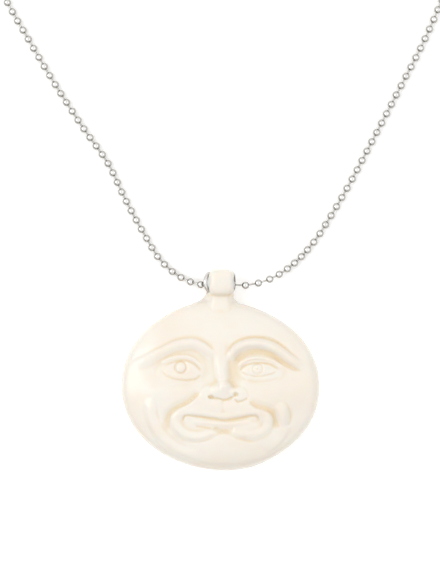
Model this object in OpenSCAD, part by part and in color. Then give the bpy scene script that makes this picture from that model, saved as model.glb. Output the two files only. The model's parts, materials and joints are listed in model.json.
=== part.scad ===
/* [Pendant] */
// Width of the carved moon face
face_w = 39.5; // [30:0.5:50]
// Height of the carved moon face, without its neck and bail
face_h = 34; // [26:0.5:44]
// Height of the dome before the features, over its flat back
dome_z = 6.2; // [4:0.1:9]
// Height of the rim, where the side wall starts
rim_z = 2.6; // [1.5:0.1:3.5]
// Cells across the carved face
cells_x = 72; // [24:2:80]
// Cells up the carved face
cells_y = 62; // [20:2:68]

/* [Bail] */
// Length of the bone bail along its hole
bail_len = 5.3; // [4.4:0.1:7]
// Outer diameter of the bone bail
bail_d = 5.3; // [4.8:0.1:7]
// Slant of the hole: the left mouth looks down, the right mouth up
bail_slant = 6; // [5:1:7]
// Bore of the silver liner
liner_bore = 3; // [2.9:0.1:3.2]
// Wall of the silver liner
liner_wall = 0.25; // [0.2:0.05:0.4]
// Thickness of the rolled rim outside the liner's left mouth
rim_wire = 0.8; // [0.6:0.02:0.8]

/* [Chain] */
// Diameter of a ball
ball_d = 1.5; // [1.3:0.1:1.6]
// Wall of the hollow ball
ball_wall = 0.13; // [0.1:0.01:0.18]
// Diameter of the pin between two balls
pin_d = 0.36; // [0.3:0.02:0.4]
// Diameter of the head that is captive in the next ball
head_d = 0.72; // [0.7:0.02:0.76]
// Spacing of the balls along the loop
ball_pitch = 2.11; // [2:0.01:2.3]
// Radius of the back of the loop as it lies
back_r = 58; // [52:1:66]
// Distance from the middle of the face to the middle of that back arc
back_y = 136.7; // [125:0.1:150]

/* [Clasp] */
// Length of the sleeve that holds the two end balls
clasp_len = 4.4; // [4.2:0.1:4.6]
// Outer diameter of the sleeve
clasp_d = 2.4; // [2.3:0.1:2.8]

/* [Hidden] */
$fn = 48;
gap = 0.14;
bone = "#f1e4cb";
silver = "#c9ccd0";

ball_r = ball_d / 2;
bail_r = bail_d / 2;
liner_r = liner_bore / 2 + liner_wall;
bail_at = [0.25, 20.3, 3.1];
bail_round = 1;
rim_at = -(bail_len + rim_wire) / 2 - 0.05;
neck_w = 5.3;
neck_z = 4;
back_x = 0.5;
clasp_wall = 0.2;

// Size of the face in the tables below; at another size it scales, and its top edge stays under the bail
drawn = [39.5, 34];
face_y = (drawn.y - face_h) / 2;

// Where the oval leaves its ellipse: angle, spread, share of the radius
outline_shares = [
    [58, 36, -0.045],
    [130, 28, -0.024],
    [215, 25, 0.008],
    [288, 24, 0.022],
    [335, 18, 0.014],
];
// The side wall below the rim: share of the outline, height
side_rings = [
    [1, 1.5],
    [0.98, 0.6],
    [0.94, 0],
];

// Swells and hollows of the face: x, y, half width, half height, turn, height, steepness
mounds = [
    [-8.2, 3.4, 8.6, 5.2, 8, -0.5, 1.8],     // left socket
    [8.8, 3.4, 8.6, 5.2, -8, -0.6, 1.8],     // right socket
    [-3.3, 2.6, 2.4, 3.8, 16, -0.15, 1.8],   // beside the nose, left
    [3.2, 2.6, 2.6, 4.6, -14, -0.4, 1.6],    // beside the nose, right
    [-7.8, 2.8, 5.2, 3.1, 8, 0.5, 1.4],      // left eyeball
    [8, 2.9, 5, 2.9, -4, 0.5, 1.4],          // right eyeball
    [-9.8, -1.9, 7.6, 5.4, -28, 0.5, 1.7],   // left cheek
    [10.6, -2.3, 7.6, 5.4, 28, 0.55, 1.7],   // right cheek
    [12.2, -6, 1.7, 2.4, 10, 0.35, 1.3],     // fold beside the right corner of the mouth
    [0.5, -1.2, 2.7, 2.2, 0, 0.8, 1.4],      // tip of the nose
    [-2.3, -1.6, 2, 1.6, 25, 0.35, 1.5],     // left wing of the nose
    [3.6, -1.9, 2.1, 1.6, -20, 0.4, 1.5],    // right wing of the nose
    [-3.4, -4.6, 5.2, 2.6, 14, 0.3, 1.5],    // upper lip, left
    [4, -4.6, 5.2, 2.6, -14, 0.3, 1.5],      // upper lip, right
    [0.4, -5.2, 3.4, 2.8, 0, 0.15, 1.5],     // middle of the upper lip
    [4.6, -8.9, 3.8, 1.8, 8, 0.25, 1.3],     // lower lip, right
    [0.8, -12.8, 9, 4.4, 0, 0.5, 1.6],       // chin
];
// Ridges and creases: points, width left and right of the way along them, height at start, middle, end
folds = [
    // left brow, and the hollow under it
    [[[-0.7, 5.2], [-2.5, 7], [-4.3, 8.2], [-6.1, 8.5], [-8.9, 8], [-12.1, 6.5], [-15.3, 5], [-18.4, 3.8]],
        1.4, 0.9, [0.35, 0.6, 0.2]],
    [[[-2.2, 4.4], [-4, 6.2], [-6.3, 7], [-8.9, 6.6], [-12, 5], [-15, 3.8]],
        0.8, 0.8, [-0.05, -0.12, -0.05]],
    // right brow, and the hollow under it
    [[[1.6, 4.4], [2.2, 6], [3.4, 7.4], [5.6, 8.2], [8.2, 8.2], [10.4, 7.5], [12.4, 6.3], [14.4, 4.8],
        [16.9, 3.4]],
        1.1, 1.4, [0.4, 0.65, 0.45]],
    [[[2.8, 3.6], [3.8, 5.1], [5.6, 6.2], [7.9, 6.5], [10.2, 5.9], [12.3, 4.4], [14.8, 3.1], [17, 2.9]],
        0.9, 0.7, [-0.12, -0.28, -0.12]],
    // bridge of the nose
    [[[-1.2, 9.6], [-0.6, 7], [-0.2, 4.4], [0.1, 2.2], [0.5, -0.2], [0.7, -2]], 2.2, 1.4, [0, 0.55, 0.5]],
    // line under the nose
    [[[-2.7, -2.2], [-0.4, -2.8], [0.8, -3.1], [2.1, -2.7], [3.2, -2]], 0.5, 0.5, [-0.12, -0.22, -0.15]],
    // smile creases, left and right
    [[[-3.9, -1.2], [-4.9, -2.3], [-6.4, -3.6], [-8.6, -4.7], [-9.8, -5.6], [-10.3, -6.8],
        [-10.4, -8.3], [-9.8, -10]],
        0.7, 1.6, [-0.15, -0.45, -0.05]],
    [[[5.4, -2.9], [6.4, -3.9], [7.9, -4.6], [9.8, -5.3], [10.7, -6.3], [10.9, -7.8], [10.3, -9.4]],
        1.6, 0.8, [-0.15, -0.45, -0.05]],
    // jaw, left and right
    [[[-14.2, -2.4], [-13.9, -6.6], [-12, -10.4], [-8.6, -13.2], [-3.4, -15]], 2.2, 0.8, [0.2, 0.3, 0.15]],
    [[[13.6, -7.8], [12.8, -9.8], [11, -12], [8.6, -13.6]], 0.9, 2.2, [0.1, 0.2, 0.1]],
    // edge of the upper lip, parting of the lips and the lower lip
    [[[-7.4, -5.4], [-4.2, -5.7], [0.8, -6.3], [5.8, -5.6], [8, -5.4]], 0.9, 0.6, [0.12, 0.12, 0.12]],
    [[[-7.2, -7.9], [-7.3, -6.9], [-6.7, -6.25], [-4.2, -6.45], [0.8, -7.15], [5.8, -6.35], [7, -6.35],
        [7.5, -6.9], [7.3, -7.7]], 0.6, 0.6, [-0.2, -0.28, -0.2]],
    [[[-6.3, -7.3], [-2.9, -7.5], [0.3, -7.9], [3.3, -7.6], [6.6, -7.1]], 0.5, 0.8, [0.15, 0.2, 0.15]],
    // rolls round the corners of the mouth
    [[[-6.6, -5], [-8, -5.6], [-8.9, -6.8], [-8.8, -8.2], [-7.9, -9.4], [-6.4, -10.2], [-4.2, -10.4],
        [-1.9, -9.8], [-0.4, -9.1]], 1.4, 1.2, [0.12, 0.4, 0.2]],
    [[[6.8, -4.8], [8.3, -5.4], [9.3, -6.6], [9.4, -8], [8.6, -9.3], [6.6, -10.1], [4, -10], [2.2, -9.3]],
        1.2, 1.3, [0.15, 0.3, 0.15]],
    // creases under the lower lip
    [[[-7.4, -11.6], [-4.2, -11.3], [-2.2, -10.7], [-0.9, -10], [0.8, -9.6], [2.3, -10], [3.8, -10.7],
        [6.2, -11.4], [8.6, -11]], 0.8, 0.7, [-0.03, -0.18, -0.03]],
    [[[-1.6, -8.8], [0.6, -9.2], [3, -9]], 0.8, 0.9, [-0.15, -0.2, -0.15]],
    // lids of the left eye
    [[[-12.2, 4.1], [-9.7, 5.2], [-7.3, 5.5], [-5.3, 4.9], [-3.9, 3.4]], 0.6, 0.6, [0.12, 0.25, 0.2]],
    [[[-11.6, 3.4], [-9.4, 4.4], [-7.3, 4.75], [-5.5, 4.25], [-4.4, 3.4], [-3.7, 2.4]],
        0.5, 0.5, [-0.06, -0.2, -0.1]],
    [[[-11.9, 3], [-10.2, 1.5], [-7.3, 0.85], [-4.9, 1.1], [-3.8, 2.1]], 0.5, 0.5, [-0.1, -0.2, -0.1]],
    // lids of the right eye
    [[[3.6, 3.4], [4.1, 4.2], [5.6, 5], [7.9, 5.3], [10.3, 4.7], [12.6, 3.4]], 0.6, 0.6, [0.2, 0.35, 0.15]],
    [[[3.9, 2.6], [4.5, 3.4], [5.9, 4.05], [8.2, 4.25], [10.3, 3.8], [12, 2.7]],
        0.5, 0.5, [-0.15, -0.22, -0.1]],
    [[[4.1, 2.6], [5.2, 2], [7.1, 1.6], [9.5, 1.9], [11.6, 2.7]], 0.5, 0.5, [-0.1, -0.18, -0.1]],
];

// Where the chain lies, from the bail outwards, in mm from the drawn face's centre: x, y
route_right = [
    [2.4, 19.8], [5, 19.7], [9.8, 20.9], [14.8, 24.1], [18.6, 28.2], [22.2, 33.7],
    [25.7, 39.7], [29.9, 47.6], [35.9, 59.1], [40.6, 68.2], [43.8, 75.4],
];
route_left = [
    [-1.4, 19.85], [-3.9, 19.85], [-7.4, 21], [-11.8, 24.5], [-15.3, 30], [-19.4, 37.6],
    [-22.4, 43.9], [-27.2, 50.8], [-33.1, 59.9], [-38.5, 69], [-42.5, 76],
];
// Spacings of the first balls on the right, which the weight of the bail has pulled open
pulled_gaps = [2.62, 2.62, 2.41, 2.13, 1.99, 1.84, 1.88, 1.84, 1.98];
// How far the bail lifts the chain off the surface: distance along the chain from the bail, height
bail_lift = [
    [-12, 0], [-10, 0.02], [-8, 0.2], [-5.9, 0.75], [-3.8, 1.65], [2.4, 2.6], [5, 2.55],
    [7.6, 2.15], [9.9, 1.5], [12, 0.8], [13.9, 0.36], [15.8, 0.13], [17.6, 0.02], [19.5, 0],
];
// How far the clasp lifts it: distance along the chain from the clasp, share of the height in the clasp
clasp_lift = [[1.2, 1], [3.2, 0.73], [5.3, 0.27], [7.4, 0]];

function total(list) = len(list) == 0 ? 0 : list * [for (v = list) 1];
function reversed(list) = [for (i = [len(list) - 1:-1:0]) list[i]];
function turned(a) = a - 360 * round(a / 360);
function ease(t) = t <= 0 ? 0 : t >= 1 ? 1 : t * t * (3 - 2 * t);

// Smooth curve through points, four steps to a span
function curve_point(a, b, c, d, t) =
    (2 * b + (c - a) * t + (2 * a - 5 * b + 4 * c - d) * t ^ 2 + (3 * b - a - 3 * c + d) * t ^ 3) / 2;
function smooth(p, steps = 4) =
    let (n = len(p), q = concat([2 * p[0] - p[1]], p, [2 * p[n - 1] - p[n - 2]]))
    concat([for (i = [1:n - 1], k = [0:steps - 1]) curve_point(q[i - 1], q[i], q[i + 1], q[i + 2], k / steps)],
           [p[n - 1]]);

// A fold ready for use: its curve, widths, heights, and the box that it can reach
fold_curves = [for (f = folds) let (path = smooth(f[0]), wide = max(f[1], f[2]))
    [path, f[1], f[2], f[3],
     min([for (p = path) p.x]) - wide, max([for (p = path) p.x]) + wide,
     min([for (p = path) p.y]) - wide, max([for (p = path) p.y]) + wide]];

// Distance from a curve, the side of it that p is on, and the share of the way along it
function from_segment(p, a, b, i) =
    let (ab = b - a, t = max(0, min(1, (p - a) * ab / (ab * ab))), off = p - a - t * ab)
    [norm(off), ab.x * (p.y - a.y) - ab.y * (p.x - a.x), i + t];
function nearest(p, path, i = 0, best = [1000, 0, 0]) =
    i >= len(path) - 1 ? best :
    let (hit = from_segment(p, path[i], path[i + 1], i))
    nearest(p, path, i + 1, hit[0] < best[0] ? hit : best);
function fold_height(p, f) =
    p.x < f[4] || p.x > f[5] || p.y < f[6] || p.y > f[7] ? 0 :
    let (hit = nearest(p, f[0]), q = 1 - (hit[0] / (hit[1] > 0 ? f[1] : f[2])) ^ 2,
         u = hit[2] / (len(f[0]) - 1), h = f[3])
    q <= 0 ? 0 :
    q ^ 2 * ease(min(u, 1 - u) / 0.14)
    * (h[0] * (1 - u) * (1 - 2 * u) + 4 * h[1] * u * (1 - u) + h[2] * u * (2 * u - 1));
function mound_height(p, m) =
    let (d = p - [m[0], m[1]], c = cos(m[4]), s = sin(m[4]),
         q = 1 - ((d.x * c + d.y * s) / m[2]) ^ 2 - ((d.y * c - d.x * s) / m[3]) ^ 2)
    q <= 0 ? 0 : m[5] * q ^ m[6];

function outline_r(a) =
    (1 + total([for (s = outline_shares) s[2] * exp(-(turned(a - s[0]) / s[1]) ^ 2)]))
    / norm([2 * cos(a) / face_w, 2 * sin(a) / face_h]);
function face_z(p, share) =
    rim_z + (dome_z - rim_z) * sqrt(max(0, 1 - share ^ 3))
    + min(1, (1 - share) / 0.08)
    * (total([for (m = mounds) mound_height(p, m)]) + total([for (f = fold_curves) fold_height(p, f)]));

// The carved face is a square grid drawn out to the oval, closed by a side wall and a flat back
function grid_point(i, j) =
    let (u = 2 * i / cells_x - 1, v = 2 * j / cells_y - 1,
         d = [u * sqrt(1 - v ^ 2 / 2), v * sqrt(1 - u ^ 2 / 2)],
         a = atan2(d.y, d.x), p = norm(d) * outline_r(a) * [cos(a), sin(a)])
    [p.x, p.y, face_z([p.x * drawn.x / face_w, p.y * drawn.y / face_h], norm(d))];
function at(i, j) = j * (cells_x + 1) + i;
edge = concat(
    [for (i = [0:cells_x - 1]) at(i, 0)],
    [for (j = [0:cells_y - 1]) at(cells_x, j)],
    [for (i = [cells_x:-1:1]) at(i, cells_y)],
    [for (j = [cells_y:-1:1]) at(0, j)]
);

module moon_disc() {
    grid = [for (j = [0:cells_y], i = [0:cells_x]) grid_point(i, j)];
    n = len(edge);
    wall = [for (r = side_rings, k = edge) [grid[k].x * r[0], grid[k].y * r[0], r[1]]];
    function ring(r, k) = r < 0 ? edge[k % n] : len(grid) + r * n + k % n;
    last = len(side_rings) - 1;
    polyhedron(
        points = concat(grid, wall),
        faces = concat(
            [for (j = [0:cells_y - 1], i = [0:cells_x - 1]) [at(i, j), at(i, j + 1), at(i + 1, j + 1)]],
            [for (j = [0:cells_y - 1], i = [0:cells_x - 1]) [at(i, j), at(i + 1, j + 1), at(i + 1, j)]],
            [for (r = [-1:last - 1], k = [0:n - 1]) [ring(r, k), ring(r, k + 1), ring(r + 1, k + 1)]],
            [for (r = [-1:last - 1], k = [0:n - 1]) [ring(r, k), ring(r + 1, k + 1), ring(r + 1, k)]],
            [[for (k = [0:n - 1]) ring(last, k)]]
        )
    );
}

// Places its children with their Z axis along the slanted hole of the bail
module in_bail() translate(bail_at) rotate([0, 90 - bail_slant, 0]) children();

module bail_barrel() {
    flat = bail_len / 2 - bail_round;
    rotate_extrude() {
        translate([0, -flat]) square([bail_r, 2 * flat]);
        translate([0, -bail_len / 2]) square([bail_r - bail_round, bail_len]);
        for (side = [-1, 1]) translate([bail_r - bail_round, side * flat]) circle(bail_round);
    }
}
module neck() {
    linear_extrude(neck_z) {
        translate([-neck_w / 2, 14]) square([neck_w, bail_at.y - 14]);
        difference() {
            translate([-neck_w / 2 - 1.5, 14]) square([neck_w + 3, 3.4]);
            for (side = [-1, 1]) translate([side * (neck_w / 2 + 1.5), 17.4]) circle(1.5);
        }
    }
}
module moon_pendant() {
    color(bone) translate(-origin) difference() {
        union() {
            translate([0, face_y]) moon_disc();
            neck();
            in_bail() bail_barrel();
        }
        in_bail() {
            cylinder(h = bail_len + 4, r = liner_r + gap, center = true);
            translate([0, 0, rim_at]) rotate_extrude() translate([liner_r, 0]) circle(rim_wire / 2 + gap);
        }
    }
}
module bail_liner() {
    color(silver) translate(-origin) in_bail() difference() {
        union() {
            translate([0, 0, rim_at]) cylinder(h = bail_len / 2 - rim_at, r = liner_r);
            translate([0, 0, rim_at]) rotate_extrude() translate([liner_r, 0]) circle(rim_wire / 2);
        }
        translate([0, 0, rim_at - 1]) cylinder(h = bail_len + 2, d = liner_bore);
    }
}

// Smooth closed curve through the route's points, with tangents weighted by the distances
back_arc = [for (a = [-10:20:190]) [back_x + back_r * cos(a), back_y + back_r * sin(a)]];
route = concat(route_right, back_arc, reversed(route_left));
function tangent(i) =
    let (n = len(route), a = route[(i + n - 1) % n], b = route[i % n], c = route[(i + 1) % n],
         ab = norm(b - a), bc = norm(c - b))
    ((b - a) / ab * bc + (c - b) / bc * ab) / (ab + bc);
function on_span(i, t) =
    let (n = len(route), b = route[i % n], c = route[(i + 1) % n], span = norm(c - b))
    b * (2 * t ^ 3 - 3 * t ^ 2 + 1) + c * (3 * t ^ 2 - 2 * t ^ 3)
    + tangent(i) * span * (t ^ 3 - 2 * t ^ 2 + t) + tangent(i + 1) * span * (t ^ 3 - t ^ 2);
fine = [for (i = [0:len(route) - 1], k = [0:15]) on_span(i, k / 16)];
closed = concat(fine, [fine[0]]);
function running(list, i = 0, length = 0) =
    i >= len(list) - 1 ? [length]
    : concat([length], running(list, i + 1, length + norm(list[i + 1] - list[i])));
reach = running(closed);
loop_len = reach[len(reach) - 1];
along_x = [for (i = [0:len(reach) - 1]) [reach[i], closed[i].x]];
along_y = [for (i = [0:len(reach) - 1]) [reach[i], closed[i].y]];

// The balls, counted from the last one inside the bail and out to the right
pulled = len(pulled_gaps);
pulled_len = total(pulled_gaps);
even_count = round((loop_len - pulled_len) / ball_pitch);
pitch = (loop_len - pulled_len) / even_count;
ball_count = pulled + even_count;
end_ball = round(ball_count / 2);
function way_to(i) =
    i > pulled ? pulled_len + (i - pulled) * pitch : total([for (k = [0:1:i - 1]) pulled_gaps[k]]);
clasp_way = way_to(end_ball) + pitch / 2;
function chain_z(s) =
    let (from_bail = (s > loop_len / 2 ? s - loop_len : s) + route[0].x)
    ball_r + lookup(from_bail, bail_lift) + (clasp_d / 2 - ball_r) * lookup(abs(s - clasp_way), clasp_lift);
function ball_at(s) = [lookup(s, along_x), lookup(s, along_y), chain_z(s)];
balls = [for (i = [0:ball_count - 1]) ball_at(way_to(i))];
function ball(i) = balls[(i + ball_count) % ball_count];

// The part's origin is on the surface, under the middle of all that lies there
clasp_at = (ball(end_ball) + ball(end_ball + 1)) / 2;
face_low = face_y + min([for (a = [250:290]) outline_r(a) * sin(a)]);
ball_xs = [for (p = balls) p.x];
origin = [(min(ball_xs) + max(ball_xs)) / 2, (face_low + clasp_at.y + clasp_d / 2) / 2, 0];

module towards(v) rotate([0, acos(v.z / norm(v)), atan2(v.y, v.x)]) children();

// A hollow ball, open towards the last ball, whose pin it takes in
module ball_shell() {
    rotate_extrude() difference() {
        circle(ball_r);
        circle(ball_r - ball_wall);
        translate([-ball_d, -ball_d]) square([ball_d, 2 * ball_d]);
        square([pin_d / 2 + gap, ball_d]);
    }
}
// A pin that starts in its own ball's wall and ends in a head, held inside the next ball at a distance
module headed_pin(distance) {
    root = ball_r - ball_wall / 2;
    head_r = head_d / 2;
    head_from = distance - head_r;
    head_to = distance + 0.1;
    rotate_extrude() polygon([
        [0, root], [pin_d / 2, root], [pin_d / 2, head_from], [head_r, head_from + 0.12],
        [head_r, head_to - 0.12], [pin_d / 2, head_to], [0, head_to],
    ]);
}
module chain_unit(last, here, next, pinned) {
    translate(here) {
        towards(last - here) ball_shell();
        if (pinned) towards(next - here) headed_pin(norm(next - here));
    }
}
module ball_chain() {
    color(silver) translate(-origin)
        for (i = [0:ball_count - 1]) chain_unit(ball(i - 1), ball(i), ball(i + 1), i != end_ball);
}

// Sleeve round the chain's two end balls, slotted along its top to let them in
module clasp() {
    inside = clasp_len - 2 * clasp_wall;
    slot = 0.8;
    color(silver) translate(clasp_at - origin) towards(ball(end_ball + 1) - ball(end_ball))
        difference() {
            cylinder(h = clasp_len, d = clasp_d, center = true);
            cylinder(h = inside, d = clasp_d - 2 * clasp_wall, center = true);
            cylinder(h = clasp_len + 1, r = pin_d / 2 + 0.2, center = true);
            translate([-clasp_d, -slot / 2, clasp_wall - inside / 2])
                cube([clasp_d, slot, inside - 2 * clasp_wall]);
        }
}

moon_pendant();
bail_liner();
ball_chain();
clasp();
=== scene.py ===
"""A carved moon-face pendant on a silver ball chain, laid on a white table and seen from straight above."""

from __future__ import annotations

import json
import logging
import math
from dataclasses import dataclass
from enum import Enum
from typing import Sequence

import bpy
import numpy as np
from mathutils import Matrix, Vector
from mathutils.bvhtree import BVHTree

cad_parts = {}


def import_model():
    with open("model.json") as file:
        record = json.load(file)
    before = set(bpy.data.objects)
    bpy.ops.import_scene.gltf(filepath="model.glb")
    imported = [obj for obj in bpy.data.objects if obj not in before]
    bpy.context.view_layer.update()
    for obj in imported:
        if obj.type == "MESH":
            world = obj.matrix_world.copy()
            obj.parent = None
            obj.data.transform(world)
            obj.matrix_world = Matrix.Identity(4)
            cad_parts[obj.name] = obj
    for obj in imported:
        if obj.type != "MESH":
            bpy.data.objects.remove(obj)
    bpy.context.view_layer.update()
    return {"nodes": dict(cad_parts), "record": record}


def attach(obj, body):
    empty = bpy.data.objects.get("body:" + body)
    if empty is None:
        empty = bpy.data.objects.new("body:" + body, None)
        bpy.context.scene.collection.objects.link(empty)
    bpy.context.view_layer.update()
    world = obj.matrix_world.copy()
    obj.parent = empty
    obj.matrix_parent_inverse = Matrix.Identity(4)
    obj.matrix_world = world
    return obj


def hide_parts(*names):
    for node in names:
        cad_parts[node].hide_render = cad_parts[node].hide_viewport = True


LOG = logging.getLogger("necklace")
MM = 0.001
BODY = "root"
LATHE_STEPS = 96

# Painted side shade: silver stays bright where its normal's height is above the first number, and is
# painted fully dark over the second below it
SIDE_SHADE_FROM, SIDE_SHADE_OVER = 0.92, 0.42

Point = tuple[float, float]
Point3 = tuple[float, float, float]
Colour = tuple[float, float, float, float]
Field = np.ndarray


class Polish(Enum):
    """How bright the silver of a piece is: its roughness."""

    BRIGHT = 0.1
    WORN = 0.2


class Mode(Enum):
    """What a second solid does to the first."""

    JOIN = "UNION"
    CUT = "DIFFERENCE"


class Wiring:
    """Adds the nodes of one tree and links them."""

    # Numbers of a Mix node's sockets for colours
    MIX_SHARE, MIX_LOW, MIX_HIGH = 0, 6, 7
    MIX_RESULT = 2

    def __init__(self, tree: bpy.types.NodeTree) -> None:
        """Starts with an empty tree."""
        self.tree = tree
        tree.nodes.clear()

    def add(self, kind: str, inputs: dict | None = None, **settings: object) -> bpy.types.Node:
        """Adds a node.

        Args:
            kind: The node's type in Blender.
            inputs: Values or other nodes' sockets for its inputs, by name or number.
            settings: The node's own settings.

        Returns:
            The new node.
        """
        node = self.tree.nodes.new(kind)
        for name, value in settings.items():
            setattr(node, name, value)
        for key, value in (inputs or {}).items():
            if isinstance(value, bpy.types.NodeSocket):
                self.tree.links.new(value, node.inputs[key])
            else:
                node.inputs[key].default_value = value
        return node

    def math(self, operation: str, *values: object) -> bpy.types.NodeSocket:
        """Adds a Math node of a shader tree and returns its result."""
        return self.add("ShaderNodeMath", dict(enumerate(values)), operation=operation).outputs[0]

    def vector(self, operation: str, *values: object) -> bpy.types.NodeSocket:
        """Adds a Vector Math node and returns its result."""
        given = dict(enumerate(values))
        return self.add("ShaderNodeVectorMath", given, operation=operation).outputs[0]

    def noise(self, place: object, scale: float, detail: float) -> bpy.types.NodeSocket:
        """Adds a Noise Texture node and returns its value."""
        given = {"Vector": place, "Scale": scale, "Detail": detail}
        return self.add("ShaderNodeTexNoise", given).outputs[0]

    def spread(
        self, value: object, limits: Point, results: Point = (0, 1), curve: str = "LINEAR"
    ) -> bpy.types.NodeSocket:
        """Adds a Map Range node from two limits to two results, and returns its result."""
        given = dict(enumerate((value, *limits, *results)))
        return self.add("ShaderNodeMapRange", given, interpolation_type=curve).outputs[0]

    def blend(self, share: object, low: object, high: object) -> bpy.types.NodeSocket:
        """Mixes two colours and returns the result."""
        given = {self.MIX_SHARE: share, self.MIX_LOW: low, self.MIX_HIGH: high}
        return self.add("ShaderNodeMix", given, data_type="RGBA").outputs[self.MIX_RESULT]

    def bump(self, height: object, strength: float, depth: float) -> bpy.types.NodeSocket:
        """Adds a Bump node for marks of a depth in mm and returns its normal."""
        given = {"Strength": strength, "Distance": depth * MM, "Height": height}
        return self.add("ShaderNodeBump", given).outputs[0]

    def surface(self, inputs: dict) -> None:
        """Ends a material's tree with its shader and its output."""
        shader = self.add("ShaderNodeBsdfPrincipled", inputs)
        self.add("ShaderNodeOutputMaterial", {"Surface": shader.outputs[0]})


def new_material(name: str) -> tuple[bpy.types.Material, Wiring, bpy.types.NodeSocket]:
    """Starts a material.

    Args:
        name: The material's name.

    Returns:
        The material, its tree's wiring, and the place on the piece that its patterns read.
    """
    material = bpy.data.materials.new(name)
    material.use_nodes = True
    w = Wiring(material.node_tree)
    return material, w, w.add("ShaderNodeTexCoord").outputs["Object"]


@dataclass(frozen=True)
class BoneFinish:
    """Polished bone: cream, paler on its ridges, partly worn and partly a painted highlight, tan in its
    cuts, partly patina and partly painted shade, with a faint grain.

    Attributes:
        light: Colour of the plain surface.
        warm: Colour that some patches lean to.
        rubbed_and_highlit: Colour of the ridges: worn pale, and partly a painted highlight.
        deep: Colour at the bottom of the cuts: partly patina, partly painted shade.
        grain_turn: Direction of the grain on the pendant, in degrees.
        grain_stretch: Scale of the grain along that direction, as a share of its scale across.
        grain_scale: Scale of the grain.
        cloud_scale: Scale of the warm patches.
        fine_scale: Scale of the finest marks.
        patches: The clouds' values between which the warm patches come in.
        streaks: The grain's values between which its streaks come in.
        streak_share: How much the streaks show.
        roughness: Middle of the plain surface's roughness.
        unevenness: How far the roughness varies.
        cut_roughness: What the roughness gains at the bottom of the cuts.
        bump: Strength, and depth in mm, of the marks.
        refraction: The bone's index of refraction.
        clearness: Share of the light that goes into the bone.
        glow: How far that light spreads for each colour, as a share of glow_depth.
        glow_depth: How far that light spreads, in mm.
    """

    light: Colour = (0.845, 0.80, 0.725, 1.0)
    warm: Colour = (0.84, 0.765, 0.665, 1.0)
    rubbed_and_highlit: Colour = (0.92, 0.91, 0.88, 1.0)
    deep: Colour = (0.78, 0.62, 0.38, 1.0)
    grain_turn: float = 38.0
    grain_stretch: float = 0.12
    grain_scale: float = 1500
    cloud_scale: float = 110
    fine_scale: float = 2600
    patches: Point = (0.4, 0.68)
    streaks: Point = (0.5, 0.8)
    streak_share: float = 0.28
    roughness: float = 0.18
    unevenness: float = 0.1
    cut_roughness: float = 0.15
    bump: Point = (0.12, 0.02)
    refraction: float = 1.54
    clearness: float = 0.4
    glow: Point3 = (1.0, 0.65, 0.4)
    glow_depth: float = 1.0

    def material(self) -> bpy.types.Material:
        """Builds the material, which reads the attribute "relief": 1 in the deep cuts, partly patina and
        partly painted shade, -1 on the ridges, partly worn pale and partly painted highlight.

        Returns:
            The material.
        """
        material, w, place = new_material("carved_bone")
        turn = (0, 0, math.radians(-self.grain_turn))
        stretch = (self.grain_stretch, 1, 1)
        turned = w.add("ShaderNodeMapping", {"Vector": place, "Rotation": turn, "Scale": stretch})
        grain = w.noise(turned.outputs[0], self.grain_scale, 4)
        cloud = w.noise(place, self.cloud_scale, 2)
        fine = w.noise(place, self.fine_scale, 3)
        wear_shade_and_highlight = w.add("ShaderNodeAttribute", attribute_name="wear_shade_and_highlight").outputs["Fac"]
        # Painted shade and patina in the cuts; painted highlight and worn pale on the ridges
        cut = w.math("MAXIMUM", wear_shade_and_highlight, 0.0)
        ridge = w.math("MAXIMUM", w.math("MULTIPLY", wear_shade_and_highlight, -1.0), 0.0)

        colour = w.blend(w.spread(cloud, self.patches), self.light, self.warm)
        colour = w.blend(w.spread(grain, self.streaks, (0, self.streak_share)), colour, self.warm)
        # Ridges painted pale and cuts painted tan: part wear and patina, part painted highlight and shade
        colour = w.blend(ridge, colour, self.rubbed_and_highlit)
        colour = w.blend(cut, colour, self.deep)

        rough = w.math("MULTIPLY", fine, self.unevenness)
        rough = w.math("ADD", rough, self.roughness - self.unevenness / 2)
        rough = w.math("ADD", rough, w.math("MULTIPLY", cut, self.cut_roughness))
        marks = w.math("ADD", w.math("MULTIPLY", grain, 0.5), w.math("MULTIPLY", fine, 0.5))
        w.surface(
            {
                "Base Color": colour,
                "Roughness": rough,
                "Normal": w.bump(marks, *self.bump),
                "IOR": self.refraction,
                "Subsurface Weight": self.clearness,
                "Subsurface Radius": self.glow,
                "Subsurface Scale": self.glow_depth * MM,
            }
        )
        return material


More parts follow.
